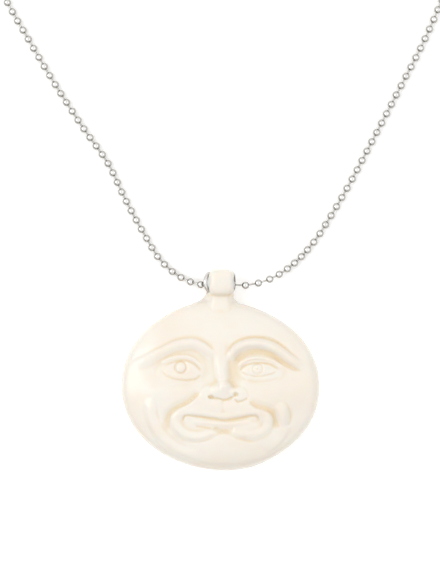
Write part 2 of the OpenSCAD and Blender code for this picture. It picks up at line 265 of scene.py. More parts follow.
@dataclass(frozen=True)
class SilverFinish:
    """Polished silver with faint handling marks, dull patches, and painted shade on its sides.

    Attributes:
        polish: How bright it is.
        colour: Its reflection's colour.
        tarnish_and_side_shade: Colour of the dull patches, and of the painted shade where the attribute
            "tarnish" is 1.
        mark_scale: Scale of the handling marks.
        dull_scale: Scale of the patches that are a little tarnished everywhere.
        worn: The patches' values between which they dull towards that colour.
        worn_share: How much of it shows.
        unevenness: What the marks add to the roughness.
        bump: Strength, and depth in mm, of the marks.
    """

    polish: Polish
    colour: Colour = (0.86, 0.855, 0.845, 1.0)
    tarnish_and_side_shade: Colour = (0.35, 0.33, 0.285, 1.0)
    mark_scale: float = 3200
    dull_scale: float = 420
    worn: Point = (0.45, 0.75)
    worn_share: float = 0.3
    unevenness: float = 0.08
    bump: Point = (0.1, 0.01)

    def material(self) -> bpy.types.Material:
        """Builds the material.

        Returns:
            The material.
        """
        material, w, place = new_material(f"silver_{self.polish.name.lower()}")
        marks = w.noise(place, self.mark_scale, 4)
        dull = w.noise(place, self.dull_scale, 2)
        worn = w.spread(dull, self.worn, (0, self.worn_share))
        # Painted shade on the sides, which face away from above
        sides = w.add("ShaderNodeAttribute", attribute_name="tarnish_and_side_shade").outputs["Fac"]
        w.surface(
            {
                "Base Color": w.blend(w.math("MAXIMUM", worn, sides), self.colour, self.tarnish_and_side_shade),
                "Metallic": 1.0,
                "Roughness": w.math("ADD", w.math("MULTIPLY", marks, self.unevenness), self.polish.value),
                "Normal": w.bump(marks, *self.bump),
            }
        )
        return material


@dataclass(frozen=True)
class TableFinish:
    """Plain white table top.

    Attributes:
        colour: Its colour.
        glow: How much it glows.
        roughness: Its roughness.
        gloss: Strength of its reflection.
        tooth_scale: Scale of its fine tooth.
        bump: Strength, and depth in mm, of the tooth.
    """

    colour: Colour = (0.96, 0.96, 0.955, 1.0)
    glow: float = 0.18
    roughness: float = 0.65
    gloss: float = 0.2
    tooth_scale: float = 900
    bump: Point = (0.05, 0.02)

    def material(self) -> bpy.types.Material:
        """Builds the material.

        Returns:
            The material.
        """
        material, w, place = new_material("table_white")
        w.surface(
            {
                "Base Color": self.colour,
                "Roughness": self.roughness,
                "Specular IOR Level": self.gloss,
                "Normal": w.bump(w.noise(place, self.tooth_scale, 2), *self.bump),
                "Emission Color": self.colour,
                "Emission Strength": self.glow,
            }
        )
        return material


def new_object(name: str, mesh: bpy.types.Mesh) -> bpy.types.Object:
    """Puts a mesh into the scene as an object at the origin.

    Args:
        name: The object's name.
        mesh: Its mesh, in metres.

    Returns:
        The object.
    """
    piece = bpy.data.objects.new(name, mesh)
    bpy.context.scene.collection.objects.link(piece)
    return piece


def new_mesh(name: str, points: np.ndarray, faces: Sequence[Sequence[int]]) -> bpy.types.Mesh:
    """Makes a smooth-shaded mesh.

    Args:
        name: The mesh's name.
        points: Its points, in metres, one to a row.
        faces: The numbers of each face's points.

    Returns:
        The mesh.
    """
    mesh = bpy.data.meshes.new(name)
    mesh.from_pydata(points.tolist(), [], faces)
    mesh.polygons.foreach_set("use_smooth", [True] * len(mesh.polygons))
    mesh.update()
    return mesh


def lathe(name: str, profile: Sequence[Point], closed: bool, place: Matrix) -> bpy.types.Mesh:
    """Turns a profile about the Z axis.

    Args:
        name: The mesh's name.
        profile: Radius and height of each point, in mm, with the solid on the left of the way along it.
        closed: True for a ring whose profile is a loop, False if it starts and ends on the axis.
        place: Where the turned shape goes, in metres.

    Returns:
        The mesh, closed, in metres.
    """
    steps = LATHE_STEPS
    ends = [] if closed else [profile[0], profile[-1]]
    rings = list(profile) if closed else list(profile[1:-1])
    turn = np.arange(steps) * 2 * math.pi / steps
    points = [np.c_[r * np.cos(turn), r * np.sin(turn), np.full(steps, z)] for r, z in rings]
    points += [np.array([[0.0, 0.0, z]]) for _, z in ends]
    faces = []
    last = len(rings) if closed else len(rings) - 1
    for i in range(last):
        a, b = i * steps, (i + 1) % len(rings) * steps
        faces += [(a + k, a + (k + 1) % steps, b + (k + 1) % steps, b + k) for k in range(steps)]
    if not closed:
        low, high = len(rings) * steps, len(rings) * steps + 1
        top = (len(rings) - 1) * steps
        faces += [(low, (k + 1) % steps, k) for k in range(steps)]
        faces += [(high, top + k, top + (k + 1) % steps) for k in range(steps)]
    mesh = new_mesh(name, np.vstack(points) * MM, faces)
    mesh.transform(place)
    return mesh


def arc(centre: Point, radius: float, start: float, stop: float, steps: int) -> list[Point]:
    """Points of an arc from one angle to another, in degrees."""
    angles = [math.radians(start + (stop - start) * k / steps) for k in range(steps + 1)]
    return [(centre[0] + radius * math.cos(a), centre[1] + radius * math.sin(a)) for a in angles]


def combine(piece: bpy.types.Object, tool: bpy.types.Mesh, mode: Mode) -> None:
    """Joins a closed mesh to a piece, or cuts it out of it.

    Args:
        piece: The piece, with a closed mesh.
        tool: The second solid's mesh, in metres.
        mode: What it does to the piece.
    """
    helper = new_object("tool", tool)
    modifier = piece.modifiers.new("combine", "BOOLEAN")
    modifier.operation = mode.value
    modifier.solver = "MANIFOLD"
    modifier.object = helper
    bake_modifiers(piece)
    bpy.data.objects.remove(helper)


def bake_modifiers(piece: bpy.types.Object) -> None:
    """Turns what a piece's modifiers make into its plain mesh, and removes them.

    Args:
        piece: The piece.
    """
    graph = bpy.context.evaluated_depsgraph_get()
    made = bpy.data.meshes.new_from_object(piece.evaluated_get(graph), depsgraph=graph)
    piece.modifiers.clear()
    piece.data = made


def mesh_points(mesh: bpy.types.Mesh) -> np.ndarray:
    """Reads a mesh's points.

    Args:
        mesh: The mesh.

    Returns:
        Its points, in metres, one to a row.
    """
    flat = np.empty(len(mesh.vertices) * 3)
    mesh.vertices.foreach_get("co", flat)
    return flat.reshape(-1, 3)


def store(mesh: bpy.types.Mesh, name: str, values: Field) -> None:
    """Stores one number for each point of a mesh as an attribute that the materials read."""
    mesh.attributes.new(name, "FLOAT", "POINT").data.foreach_set("value", values.astype(np.float32))


def paint_side_shade(mesh: bpy.types.Mesh, share: float) -> None:
    """Stores painted shade as "tarnish": the further a point faces away from above, the darker; silver
    stays bright on top.

    Args:
        mesh: The silver piece's mesh.
        share: How strong the painted shade is on its sides, from 0 to 1.
    """
    flat = np.empty(len(mesh.vertices) * 3, np.float32)
    mesh.vertex_normals.foreach_get("vector", flat)
    store(mesh, "tarnish_and_side_shade", share * ease((SIDE_SHADE_FROM - flat[2::3]) / SIDE_SHADE_OVER))


def seat(piece: bpy.types.Object, node: str, material: bpy.types.Material) -> None:
    """Gives a finished piece its material and its body, and hides the CAD node that it replaces.

    Args:
        piece: The piece.
        node: The CAD node that it replaces.
        material: Its material.
    """
    piece.data.materials.clear()
    piece.data.materials.append(material)
    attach(piece, BODY)
    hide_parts(node)
    LOG.info("%s: %d faces, replaces %s", piece.name, len(piece.data.polygons), node)


def ease(t: Field) -> Field:
    """Runs smoothly from 0 to 1 as t does."""
    t = np.clip(t, 0, 1)
    return t * t * (3 - 2 * t)


def blend_max(a: Field, b: Field, reach: float) -> Field:
    """The higher of two heights, with a fillet where they come within a reach of each other."""
    return np.maximum(a, b) + np.clip(reach - np.abs(a - b), 0, None) ** 2 / (4 * reach)


@dataclass(frozen=True)
class Mound:
    """A swell of the carving, or a hollow where its height is negative. Sizes in mm.

    Attributes:
        x, y: Its middle, from the face's centre.
        half_w, half_h: Half its width and height.
        turn: How far it is turned to the left, in degrees.
        height: What it adds in its middle.
        steepness: Power of its section: more is narrower.
    """

    x: float
    y: float
    half_w: float
    half_h: float
    turn: float
    height: float
    steepness: float

    def lift(self, x: Field, y: Field) -> Field:
        """Works out how much it adds to the face.

        Args:
            x: Places across, in mm.
            y: Places up, in mm.

        Returns:
            The height that it adds at each place, in mm.
        """
        c, s = math.cos(math.radians(self.turn)), math.sin(math.radians(self.turn))
        dx, dy = x - self.x, y - self.y
        off = ((dx * c + dy * s) / self.half_w) ** 2 + ((dy * c - dx * s) / self.half_h) ** 2
        return self.height * np.clip(1 - off, 0, 1) ** self.steepness


@dataclass(frozen=True)
class Ring:
    """A cut ring, such as an iris, or a dot where its radius is 0. Sizes in mm.

    Attributes:
        x, y: Its middle, from the face's centre.
        radius: Radius of its line.
        half_w: Half the line's width.
        height: What the line adds, below 0 for a cut.
    """

    x: float
    y: float
    radius: float
    half_w: float
    height: float

    def lift(self, x: Field, y: Field) -> Field:
        """How much it adds to the face at each place."""
        off = (np.hypot(x - self.x, y - self.y) - self.radius) / self.half_w
        return self.height * np.clip(1 - off**2, 0, 1) ** 2


@dataclass(frozen=True)
class Fold:
    """A ridge or a crease along a line. Sizes in mm.

    Attributes:
        points: Points of the line.
        left: Reach to the left of the way along it.
        right: Reach to the right.
        heights: Height at the start, the middle and the end.
        steps: Pieces of the curve between two points.
        fade: Share of its length over which each end fades out.
    """

    points: tuple[Point, ...]
    left: float
    right: float
    heights: Point3
    steps: int = 6
    fade: float = 0.14

    def curve(self) -> np.ndarray:
        """Draws a smooth curve through the points.

        Returns:
            The curve's points, one to a row.
        """
        p = np.array(self.points, float)
        p = np.vstack([2 * p[0] - p[1], p, 2 * p[-1] - p[-2]])
        t = (np.arange(self.steps) / self.steps)[:, None]
        parts = []
        for a, b, c, d in zip(p, p[1:], p[2:], p[3:]):
            bent, twisted = 2 * a - 5 * b + 4 * c - d, 3 * b - a - 3 * c + d
            parts.append((2 * b + (c - a) * t + bent * t**2 + twisted * t**3) / 2)
        return np.vstack([*parts, p[-2:-1]])

    def lift(self, x: Field, y: Field) -> Field:
        """Works out how much it adds to the face.

        Args:
            x: Places across, in mm.
            y: Places up, in mm.

        Returns:
            The height that it adds at each place, in mm.
        """
        path, reach = self.curve(), max(self.left, self.right)
        low, high = path.min(axis=0) - reach, path.max(axis=0) + reach
        near = (x > low[0]) & (x < high[0]) & (y > low[1]) & (y < high[1])
        px, py = x[near], y[near]
        best = np.full(px.shape, np.inf)
        side = np.zeros(px.shape)
        way = np.zeros(px.shape)
        for i, (a, b) in enumerate(zip(path, path[1:])):
            ab = b - a
            t = np.clip(((px - a[0]) * ab[0] + (py - a[1]) * ab[1]) / (ab @ ab), 0, 1)
            off = np.hypot(px - a[0] - t * ab[0], py - a[1] - t * ab[1])
            closer = off < best
            best = np.where(closer, off, best)
            side = np.where(closer, ab[0] * (py - a[1]) - ab[1] * (px - a[0]), side)
            way = np.where(closer, i + t, way)
        u = way / (len(path) - 1)
        start, middle, end = self.heights
        along = start * (1 - u) * (1 - 2 * u) + 4 * middle * u * (1 - u) + end * u * (2 * u - 1)
        across = np.clip(1 - (best / np.where(side > 0, self.left, self.right)) ** 2, 0, 1) ** 2
        out = np.zeros(x.shape)
        out[near] = across * along * ease(np.minimum(u, 1 - u) / self.fade)
        return out


@dataclass(frozen=True)
class Bulge:
    """Where the face's outline leaves its ellipse.

    Attributes:
        at: Its angle from the right, in degrees.
        spread: How far it spreads to both sides, in degrees.
        share: What it adds there, as a share of the radius.
    """

    at: float
    spread: float
    share: float


# Swells and hollows of the face: x, y, half width, half height, turn, height, steepness
MOUNDS = [
    Mound(-8.2, 3.4, 8.6, 5.2, 8, -0.5, 1.8),  # left socket
    Mound(8.8, 3.4, 8.6, 5.2, -8, -0.6, 1.8),  # right socket
    Mound(-3.3, 2.6, 2.4, 3.8, 16, -0.15, 1.8),  # beside the nose, left
    Mound(3.2, 2.6, 2.6, 4.6, -14, -0.4, 1.6),  # beside the nose, right
    Mound(-7.8, 2.8, 5.2, 3.1, 8, 0.5, 1.4),  # left eyeball
    Mound(8.0, 2.9, 5.0, 2.9, -4, 0.5, 1.4),  # right eyeball
    Mound(-9.8, -1.9, 7.6, 5.4, -28, 0.5, 1.7),  # left cheek
    Mound(10.6, -2.3, 7.6, 5.4, 28, 0.55, 1.7),  # right cheek
    Mound(12.3, -6.0, 1.7, 2.6, 10, 0.62, 1.3),  # fold beside the right corner of the mouth
    Mound(0.5, -1.2, 2.7, 2.2, 0, 0.75, 1.4),  # tip of the nose
    Mound(-2.3, -1.6, 2.0, 1.6, 25, 0.35, 1.5),  # left wing of the nose
    Mound(3.6, -1.9, 2.1, 1.6, -20, 0.4, 1.5),  # right wing of the nose
    Mound(-1.9, -2.5, 0.7, 0.5, 0, -0.35, 1.0),  # left nostril
    Mound(3.1, -2.0, 0.65, 0.6, 0, -0.45, 1.0),  # right nostril
    Mound(-3.4, -4.6, 5.2, 2.6, 14, 0.3, 1.5),  # upper lip, left
    Mound(4.0, -4.6, 5.2, 2.6, -14, 0.3, 1.5),  # upper lip, right
    Mound(0.4, -5.2, 3.4, 2.8, 0, 0.15, 1.5),  # middle of the upper lip
    Mound(4.6, -8.9, 3.8, 1.8, 8, 0.25, 1.3),  # lower lip, right
    Mound(0.8, -12.8, 9.0, 4.4, 0, 0.5, 1.6),  # chin
    Mound(-7.9, 3.4, 1.1, 1.1, 0, 0.25, 1.0),  # left iris
]

# Cuts of the irises and the right pupil
RINGS = [
    Ring(-7.9, 3.4, 1.15, 0.35, -0.18),
    Ring(7.4, 3.05, 1.0, 0.35, -0.15),
    Ring(7.4, 3.05, 0.0, 0.35, -0.15),
]

# Ridges and creases: points, reach left and right, height at start, middle and end
FOLDS = [
    # left brow, which runs on into the bridge of the nose, and the hollow under it
    Fold(
        (
            (-0.7, 5.2), (-2.5, 7.0), (-4.3, 8.2), (-6.1, 8.5), (-8.9, 8.0),
            (-12.1, 6.5), (-15.3, 5.0), (-18.4, 3.8),
        ),
        2.0, 0.9, (0.35, 0.55, 0.2),
    ),
    Fold(
        ((-2.2, 4.4), (-4.0, 6.2), (-6.3, 7.0), (-8.9, 6.6), (-12.0, 5.0), (-15.0, 3.8)),
        0.8, 0.8, (-0.03, -0.06, -0.03),
    ),
    # right brow, the line over it and the hollow under it
    Fold(
        (
            (1.6, 4.4), (2.2, 6.0), (3.4, 7.4), (5.6, 8.2), (8.2, 8.2),
            (10.4, 7.5), (12.4, 6.3), (14.4, 4.8), (16.9, 3.4),
        ),
        1.1, 1.4, (0.4, 0.65, 0.45),
    ),
    Fold(
        ((1.6, 6.4), (2.3, 7.7), (4.0, 8.9), (6.3, 9.4), (9.6, 9.2), (12.2, 7.9), (14.4, 6.0)),
        0.5, 0.4, (-0.07, -0.12, -0.07),
    ),
    Fold(
        (
            (2.8, 3.6), (3.8, 5.1), (5.6, 6.2), (7.9, 6.5),
            (10.2, 5.9), (12.3, 4.4), (14.8, 3.1), (17.0, 2.9),
        ),
        0.9, 0.7, (-0.12, -0.28, -0.12),
    ),
    # bridge of the nose
    Fold(
        ((-1.2, 9.6), (-0.6, 7.0), (-0.2, 4.4), (0.1, 2.2), (0.5, -0.2), (0.7, -2.0)),
        2.2, 1.4, (0.0, 0.55, 0.45), fade=0.25,
    ),
    # line under the nose and round its right wing
    Fold(
        ((-2.7, -2.2), (-1.9, -2.6), (-0.4, -2.8), (0.8, -3.1), (2.1, -2.7), (3.2, -2.0)),
        0.35, 0.35, (-0.12, -0.22, -0.15),
    ),
    Fold(((2.7, -2.6), (3.4, -3.4), (4.5, -3.2), (5.5, -2.6)), 0.35, 0.35, (-0.12, -0.2, -0.12)),
    # smile creases
    Fold(
        (
            (-3.9, -1.2), (-4.9, -2.3), (-6.4, -3.6), (-8.6, -4.7),
            (-9.8, -5.6), (-10.3, -6.8), (-10.4, -8.3), (-9.8, -10.0),
        ),
        0.6, 1.6, (-0.15, -0.45, -0.05),
    ),
    Fold(
        ((5.4, -2.9), (6.4, -3.9), (7.9, -4.6), (9.8, -5.3), (10.7, -6.3), (10.9, -7.8), (10.3, -9.4)),
        1.6, 0.7, (-0.15, -0.45, -0.05),
    ),
    # groove over the lips
    Fold(((0.5, -3.0), (0.5, -4.4), (0.6, -5.8)), 0.8, 0.8, (-0.06, -0.12, -0.06)),
    # jaw
    Fold(
        ((-14.2, -2.4), (-13.9, -6.6), (-12.0, -10.4), (-8.6, -13.2), (-3.4, -15.0)),
        1.7, 1.3, (0.3, 0.45, 0.2),
    ),
    Fold(((13.6, -7.8), (12.8, -9.8), (11.0, -12.0), (8.6, -13.6)), 0.9, 2.2, (0.1, 0.2, 0.1)),
    # edge of the upper lip, parting of the lips and the lower lip
    Fold(((-7.4, -5.4), (-4.2, -5.7), (0.8, -6.3), (5.8, -5.6), (8.0, -5.4)), 0.9, 0.6, (0.12, 0.12, 0.12)),
    Fold(
        (
            (-7.2, -7.9), (-7.3, -6.9), (-6.7, -6.25), (-4.2, -6.45), (-1.7, -6.8), (0.8, -7.15),
            (3.3, -6.85), (5.8, -6.35), (7.0, -6.35), (7.5, -6.9), (7.3, -7.7),
        ),
        0.45, 0.4, (-0.2, -0.26, -0.2),
    ),
    Fold(((-6.3, -7.3), (-2.9, -7.5), (0.3, -7.9), (3.3, -7.6), (6.6, -7.1)), 0.4, 0.8, (0.15, 0.2, 0.15)),
    # rolls round the corners of the mouth
    Fold(
        (
            (-6.6, -5.0), (-8.0, -5.6), (-8.9, -6.8), (-8.8, -8.2), (-7.9, -9.4),
            (-6.4, -10.2), (-4.2, -10.4), (-1.9, -9.8), (-0.4, -9.1),
        ),
        1.4, 1.2, (0.12, 0.4, 0.2),
    ),
    Fold(
        (
            (6.8, -4.8), (8.3, -5.4), (9.3, -6.6), (9.4, -8.0),
            (8.6, -9.3), (6.6, -10.1), (4.0, -10.0), (2.2, -9.3),
        ),
        1.2, 1.3, (0.15, 0.3, 0.15),
    ),
    # creases under the lower lip
    Fold(
        (
            (-7.4, -11.6), (-4.2, -11.3), (-2.2, -10.7), (-0.9, -10.0), (0.8, -9.6),
            (2.3, -10.0), (3.8, -10.7), (6.2, -11.4), (8.6, -11.0),
        ),
        0.8, 0.7, (-0.03, -0.18, -0.03),
    ),
    Fold(((-1.6, -8.8), (0.6, -9.2), (3.0, -9.0)), 0.8, 0.9, (-0.15, -0.2, -0.15)),
    Fold(((-5.2, -8.3), (-3.0, -8.6), (-0.9, -9.1)), 0.35, 0.35, (-0.08, -0.1, -0.08)),
    # lids of the left eye
    Fold(((-12.2, 4.1), (-9.7, 5.2), (-7.3, 5.5), (-5.3, 4.9), (-3.9, 3.4)), 0.5, 0.5, (0.12, 0.25, 0.2)),
    Fold(
        ((-11.6, 3.4), (-9.4, 4.4), (-7.3, 4.75), (-5.5, 4.25), (-4.4, 3.4), (-3.7, 2.4)),
        0.4, 0.4, (-0.06, -0.2, -0.1),
    ),
    Fold(
        ((-11.9, 3.0), (-10.2, 1.5), (-7.3, 0.85), (-4.9, 1.1), (-3.8, 2.1)),
        0.4, 0.4, (-0.1, -0.2, -0.1),
    ),
    # lids of the right eye and the bag under it
    Fold(
        ((3.6, 3.4), (4.1, 4.2), (5.6, 5.0), (7.9, 5.3), (10.3, 4.7), (12.6, 3.4)),
        0.55, 0.5, (0.2, 0.35, 0.15),
    ),
    Fold(
        ((3.9, 2.6), (4.5, 3.4), (5.9, 4.05), (8.2, 4.25), (10.3, 3.8), (12.0, 2.7)),
        0.4, 0.4, (-0.15, -0.22, -0.1),
    ),
    Fold(((4.1, 2.6), (5.2, 2.0), (7.1, 1.6), (9.5, 1.9), (11.6, 2.7)), 0.35, 0.35, (-0.1, -0.18, -0.1)),
    Fold(((3.9, 1.4), (6.6, 0.7), (9.6, 0.8), (12.0, 1.6)), 0.5, 0.5, (-0.05, -0.08, -0.05)),
]

# Where the oval leaves its ellipse
BULGES = [
    Bulge(58, 36, -0.045),
    Bulge(130, 28, -0.024),
    Bulge(215, 25, 0.008),
    Bulge(288, 24, 0.022),
    Bulge(335, 18, 0.014),
]


@dataclass(frozen=True)
class Bail:
    """The bail and its slanted hole, which the pendant, the liner and the chain share. Sizes in mm.

    Attributes:
        x, y, z: Middle of the hole, from the face's centre.
        slant: How steeply the hole rises to the right, in degrees.
        length: Length along the hole.
        radius: Half its thickness.
        squareness: Power of its section: 2 is round, more is squarer.
        rounding: Rounding of its right end, and of its left end along the hole.
        left_doming: Rounding of its left end across the hole.
        top_shift: How far its top lies to the left of its middle.
        fall: How steeply its height falls off beside it.
        bore: Radius of the hole in the liner.
        sleeve: Outer radius of the liner.
        rim_at: Where the liner's rolled rim lies along the hole.
        rim_wire: Radius of that rim.
        rim_bend: How far the rim's sides are bent back.
        gap: Room between the liner and the bone.
        drill_past: How far the drill goes past each end.
        end_rings: Rings on its flat left and right end.
        corner_steps: Steps of its rounded left and right corner.
        side_steps: Rings on its side.
        rim_steps: Steps of the seat that is cut for the rim.
    """

    x: float = 0.25
    y: float = 20.3
    z: float = 3.1
    slant: float = 6.0
    length: float = 5.3
    radius: float = 2.65
    squareness: float = 3.4
    rounding: float = 1.5
    left_doming: float = 1.9
    top_shift: float = 0.25
    fall: float = 4
    bore: float = 1.5
    sleeve: float = 1.75
    rim_at: float = -3.1
    rim_wire: float = 0.4
    rim_bend: float = 0.4
    gap: float = 0.14
    drill_past: float = 2
    end_rings: tuple[int, int] = (4, 8)
    corner_steps: tuple[int, int] = (24, 16)
    side_steps: int = 12
    rim_steps: int = 16

    def place(self, centre: Vector) -> Matrix:
        """Takes the Z axis to the hole's axis, for a face centred at a point in metres."""
        at = centre + Vector((self.x, self.y, self.z)) * MM
        return Matrix.Translation(at) @ Matrix.Rotation(math.radians(90 - self.slant), 4, "Y")

    def outside_z(self, x: Field, y: Field) -> Field:
        """Works out the height of its outside.

        Args:
            x: Places across, in mm.
            y: Places up, in mm.

        Returns:
            The height at each place, in mm, which falls off steeply beside the bail.
        """
        slant, corner = math.radians(self.slant), self.length / 2 - self.rounding
        along = (x - self.x) / math.cos(slant) + self.top_shift
        past = np.clip(np.abs(along) - corner, 0, self.rounding) / self.rounding
        doming = np.where(along < 0, self.left_doming, self.rounding)
        radius = self.radius - doming * (1 - np.sqrt(1 - past**2))
        off, n = np.abs(y - self.y), self.squareness
        rise = np.clip(radius**n - off**n, 0, None) ** (1 / n) / math.cos(slant)
        return self.z + (x - self.x) * math.tan(slant) + rise - self.fall * np.clip(off - radius, 0, None)

    def barrel(self) -> bpy.types.Mesh:
        """Makes its outside, before its hole.

        Returns:
            The closed mesh, in metres from the face's centre.
        """
        half, inner, domed = self.length / 2, self.radius - self.rounding, self.radius - self.left_doming
        corner = half - self.rounding
        left, right = self.end_rings
        profile = [(0.0, -half), *[(domed * k / left, -half) for k in range(1, left)]]
        turn = arc((0, 0), 1, -90, 0, self.corner_steps[0])
        profile += [(domed + self.left_doming * r, -corner + self.rounding * z) for r, z in turn]
        profile += [(self.radius, z) for z in np.linspace(-corner, corner, self.side_steps)[1:-1]]
        profile += arc((inner, corner), self.rounding, 0, 90, self.corner_steps[1])
        profile += [*[(inner * k / right, half) for k in range(right - 1, 0, -1)], (0.0, half)]
        mesh = lathe("barrel", profile, False, Matrix.Identity(4))
        # Its round section is drawn out towards a square one
        points = mesh_points(mesh)
        turn = np.arctan2(points[:, 1], points[:, 0])
        n = self.squareness
        points[:, :2] *= ((np.abs(np.cos(turn)) ** n + np.abs(np.sin(turn)) ** n) ** (-1 / n))[:, None]
        mesh.vertices.foreach_set("co", points.ravel())
        mesh.transform(self.place(Vector((0, 0, 0))))
        mesh.update()
        return mesh

    def hole(self) -> bpy.types.Mesh:
        """Makes what is cut out of it: room for the liner, and the seat of the rolled rim.

        Returns:
            The closed mesh, in metres from the face's centre.
        """
        room, seat_r = self.sleeve + self.gap, self.rim_wire + self.gap
        end = self.length / 2 + self.drill_past
        start = math.degrees(math.asin(self.gap / seat_r))
        profile = [(0.0, -end), (room, -end)]
        profile += arc((self.sleeve, self.rim_at), seat_r, -90 + start, 90 - start, self.rim_steps)
        profile += [(room, end), (0.0, end)]
        return lathe("hole", profile, False, self.place(Vector((0, 0, 0))))


@dataclass(frozen=True)
class Neck:
    """The neck between the face and the bail. Sizes in mm from the face's centre.

    Attributes:
        half: Half its width.
        top: Height of its ridge.
        start: Where its mesh starts, inside the face.
        end: Where its mesh ends, inside the bail.
        cells: Cells of its mesh along and across.
        left_foot, right_foot: Where each side leaves the outline of the face.
        left_flare, right_flare: How far each side flares out there.
        ridge_half: Half the width of its level ridge.
        arch: How steeply it falls off beside the ridge.
        dip_from: Where the ridge starts to sink towards the face.
        dip: How steeply it sinks there.
        shoulder: How far the fillet under the bail sinks towards the bail's ends.
        shoulder_from: Where that sinking starts, from the bail's middle.
        shoulder_over: The width that it takes.
        fillet: Reach of the fillet under the bail.
        root: Reach of the fillet on the face.
        root_half, root_from: Half the width, and the start, of the place where the neck can meet the face.
        below: How far it keeps under the bail and under the face's own mesh.
        edge_w, edge_z: Width and depth of its rounded edge.
        inset: How far its foot is drawn in, as a share of the distance from the centre.
        back: Height of its back.
    """

    half: float = 2.65
    top: float = 4.4
    start: float = 15.0
    end: float = 20.0
    cells: int = 60
    left_foot: float = 16.2
    right_foot: float = 16.6
    left_flare: float = 3.0
    right_flare: float = 0.8
    ridge_half: float = 1.0
    arch: float = 0.6
    dip_from: float = 16.5
    dip: float = 0.16
    shoulder: float = 0.7
    shoulder_from: float = 1.3
    shoulder_over: float = 0.9
    fillet: float = 1.2
    root: float = 1.3
    root_half: float = 6
    root_from: float = 12
    below: float = 0.015
    edge_w: float = 0.7
    edge_z: float = 0.5
    inset: float = 0.02
    back: float = 0.02

    def ridge_z(self, x: Field, y: Field, bail: Bail) -> Field:
        """Works out the height of the arched neck and the bail, with a fillet between them.

        Args:
            x: Places across, in mm.
            y: Places up, in mm.
            bail: The bail over it.

        Returns:
            The height at each place, in mm.
        """
        beside = np.clip(np.abs(x) - self.ridge_half, 0, None)
        before = np.clip(self.dip_from - y, 0, None)
        arch = self.top - self.arch * beside**2 - self.dip * before**2
        sunk = self.shoulder * ease((np.abs(x - bail.x) - self.shoulder_from) / self.shoulder_over)
        return blend_max(arch, bail.outside_z(x, y) - sunk, self.fillet) - self.below

    def half_w(self, side: Field, y: Field) -> Field:
        """Works out half its width, which flares out where it leaves the face.

        Args:
            side: Below 0 for its left side, else its right side.
            y: Places up, in mm.

        Returns:
            Half the width at each place, in mm.
        """
        flare = np.where(side < 0, self.left_flare, self.right_flare)
        foot = np.where(side < 0, self.left_foot, self.right_foot)
        near = np.clip((foot + flare - y) / flare, 0, 1)
        return self.half + flare * (1 - np.sqrt(1 - near**2))


@dataclass(frozen=True)
class WearAndPaintedLight:
    """How the bone is painted tan in its cuts, partly patina and partly painted shade, and pale on its
    ridges, partly worn and partly painted highlight. Sizes in mm.

    Attributes:
        step: Spacing of the grid on which the face is measured.
        half_w, half_h: Half the width and the height of that grid.
        scales: Width of each bell that evens the face out, and the weight of what is under or over that.
        ridge_from, ridge_rate: Where a ridge starts to be painted pale, and how fast that grows.
        cut_from, cut_rate: Where a cut starts to be dark, and how fast that grows.
        reach: Share of the face's radius inside which both show.
        lowest: Height above which both show.
        crease_at, crease_w, crease_half: Place, width and half the length of the line of painted shade
            under the bail.
        crease_from: Height above which that line shows.
        crease_share: How dark that line is.
    """

    step: float = 0.14
    half_w: float = 21
    half_h: float = 19
    scales: tuple[Point, ...] = ((0.35, 2.2), (0.8, 1.2), (1.8, 0.3))
    ridge_from: float = 0.03
    ridge_rate: float = 5.0
    cut_from: float = 0.05
    cut_rate: float = 2.4
    reach: float = 0.93
    lowest: float = 1
    crease_at: float = 17.7
    crease_w: float = 0.35
    crease_half: float = 3
    crease_from: float = 2.5
    crease_share: float = 0.4

    def even(self, z: Field, width: float) -> Field:
        """Evens a grid of heights out.

        Args:
            z: The heights.
            width: Width of the bell that evens them out, in mm.

        Returns:
            The evened heights, on the same grid.
        """
        steps = np.arange(-3 * width, 3 * width + self.step, self.step)
        bell = np.exp(-((steps / width) ** 2) / 2)
        bell /= bell.sum()
        wide = np.apply_along_axis(np.convolve, 0, np.pad(z, len(bell) // 2, "edge"), bell, "valid")
        wide = np.apply_along_axis(np.convolve, 1, wide, bell, "valid")
        return wide[: z.shape[0], : z.shape[1]]

    def wear_shade_and_highlight(self, z: Field) -> Field:
        """Works out how deep in a cut each place of a grid of heights lies.

        Args:
            z: The heights, in mm.

        Returns:
            From 0 on the plain face to 1 in the deepest cuts, and down to -1 on the ridges.
        """
        depth, rise = np.zeros_like(z), np.zeros_like(z)
        for width, weight in self.scales:
            off = weight * (self.even(z, width) - z)
            depth += np.clip(off, 0, None)
            rise += np.clip(-off, 0, None)
        # Ridges painted pale, partly worn and partly painted highlight; cuts tan, partly patina and partly
        # painted shade
        rubbed_and_highlit = np.exp(-self.ridge_rate * np.clip(rise - self.ridge_from, 0, None))
        return rubbed_and_highlit - np.exp(-self.cut_rate * np.clip(depth - self.cut_from, 0, None))

    def crease(self, points: np.ndarray) -> Field:
        """Works out how dark the line of painted shade under the bail is.

        Args:
            points: The piece's points, in mm from the face's centre.

        Returns:
            From 0 to its share at each point.
        """
        line = np.exp(-(((points[:, 1] - self.crease_at) / self.crease_w) ** 2))
        line = line * (np.abs(points[:, 0]) < self.crease_half)
        return self.crease_share * line * (points[:, 2] > self.crease_from)


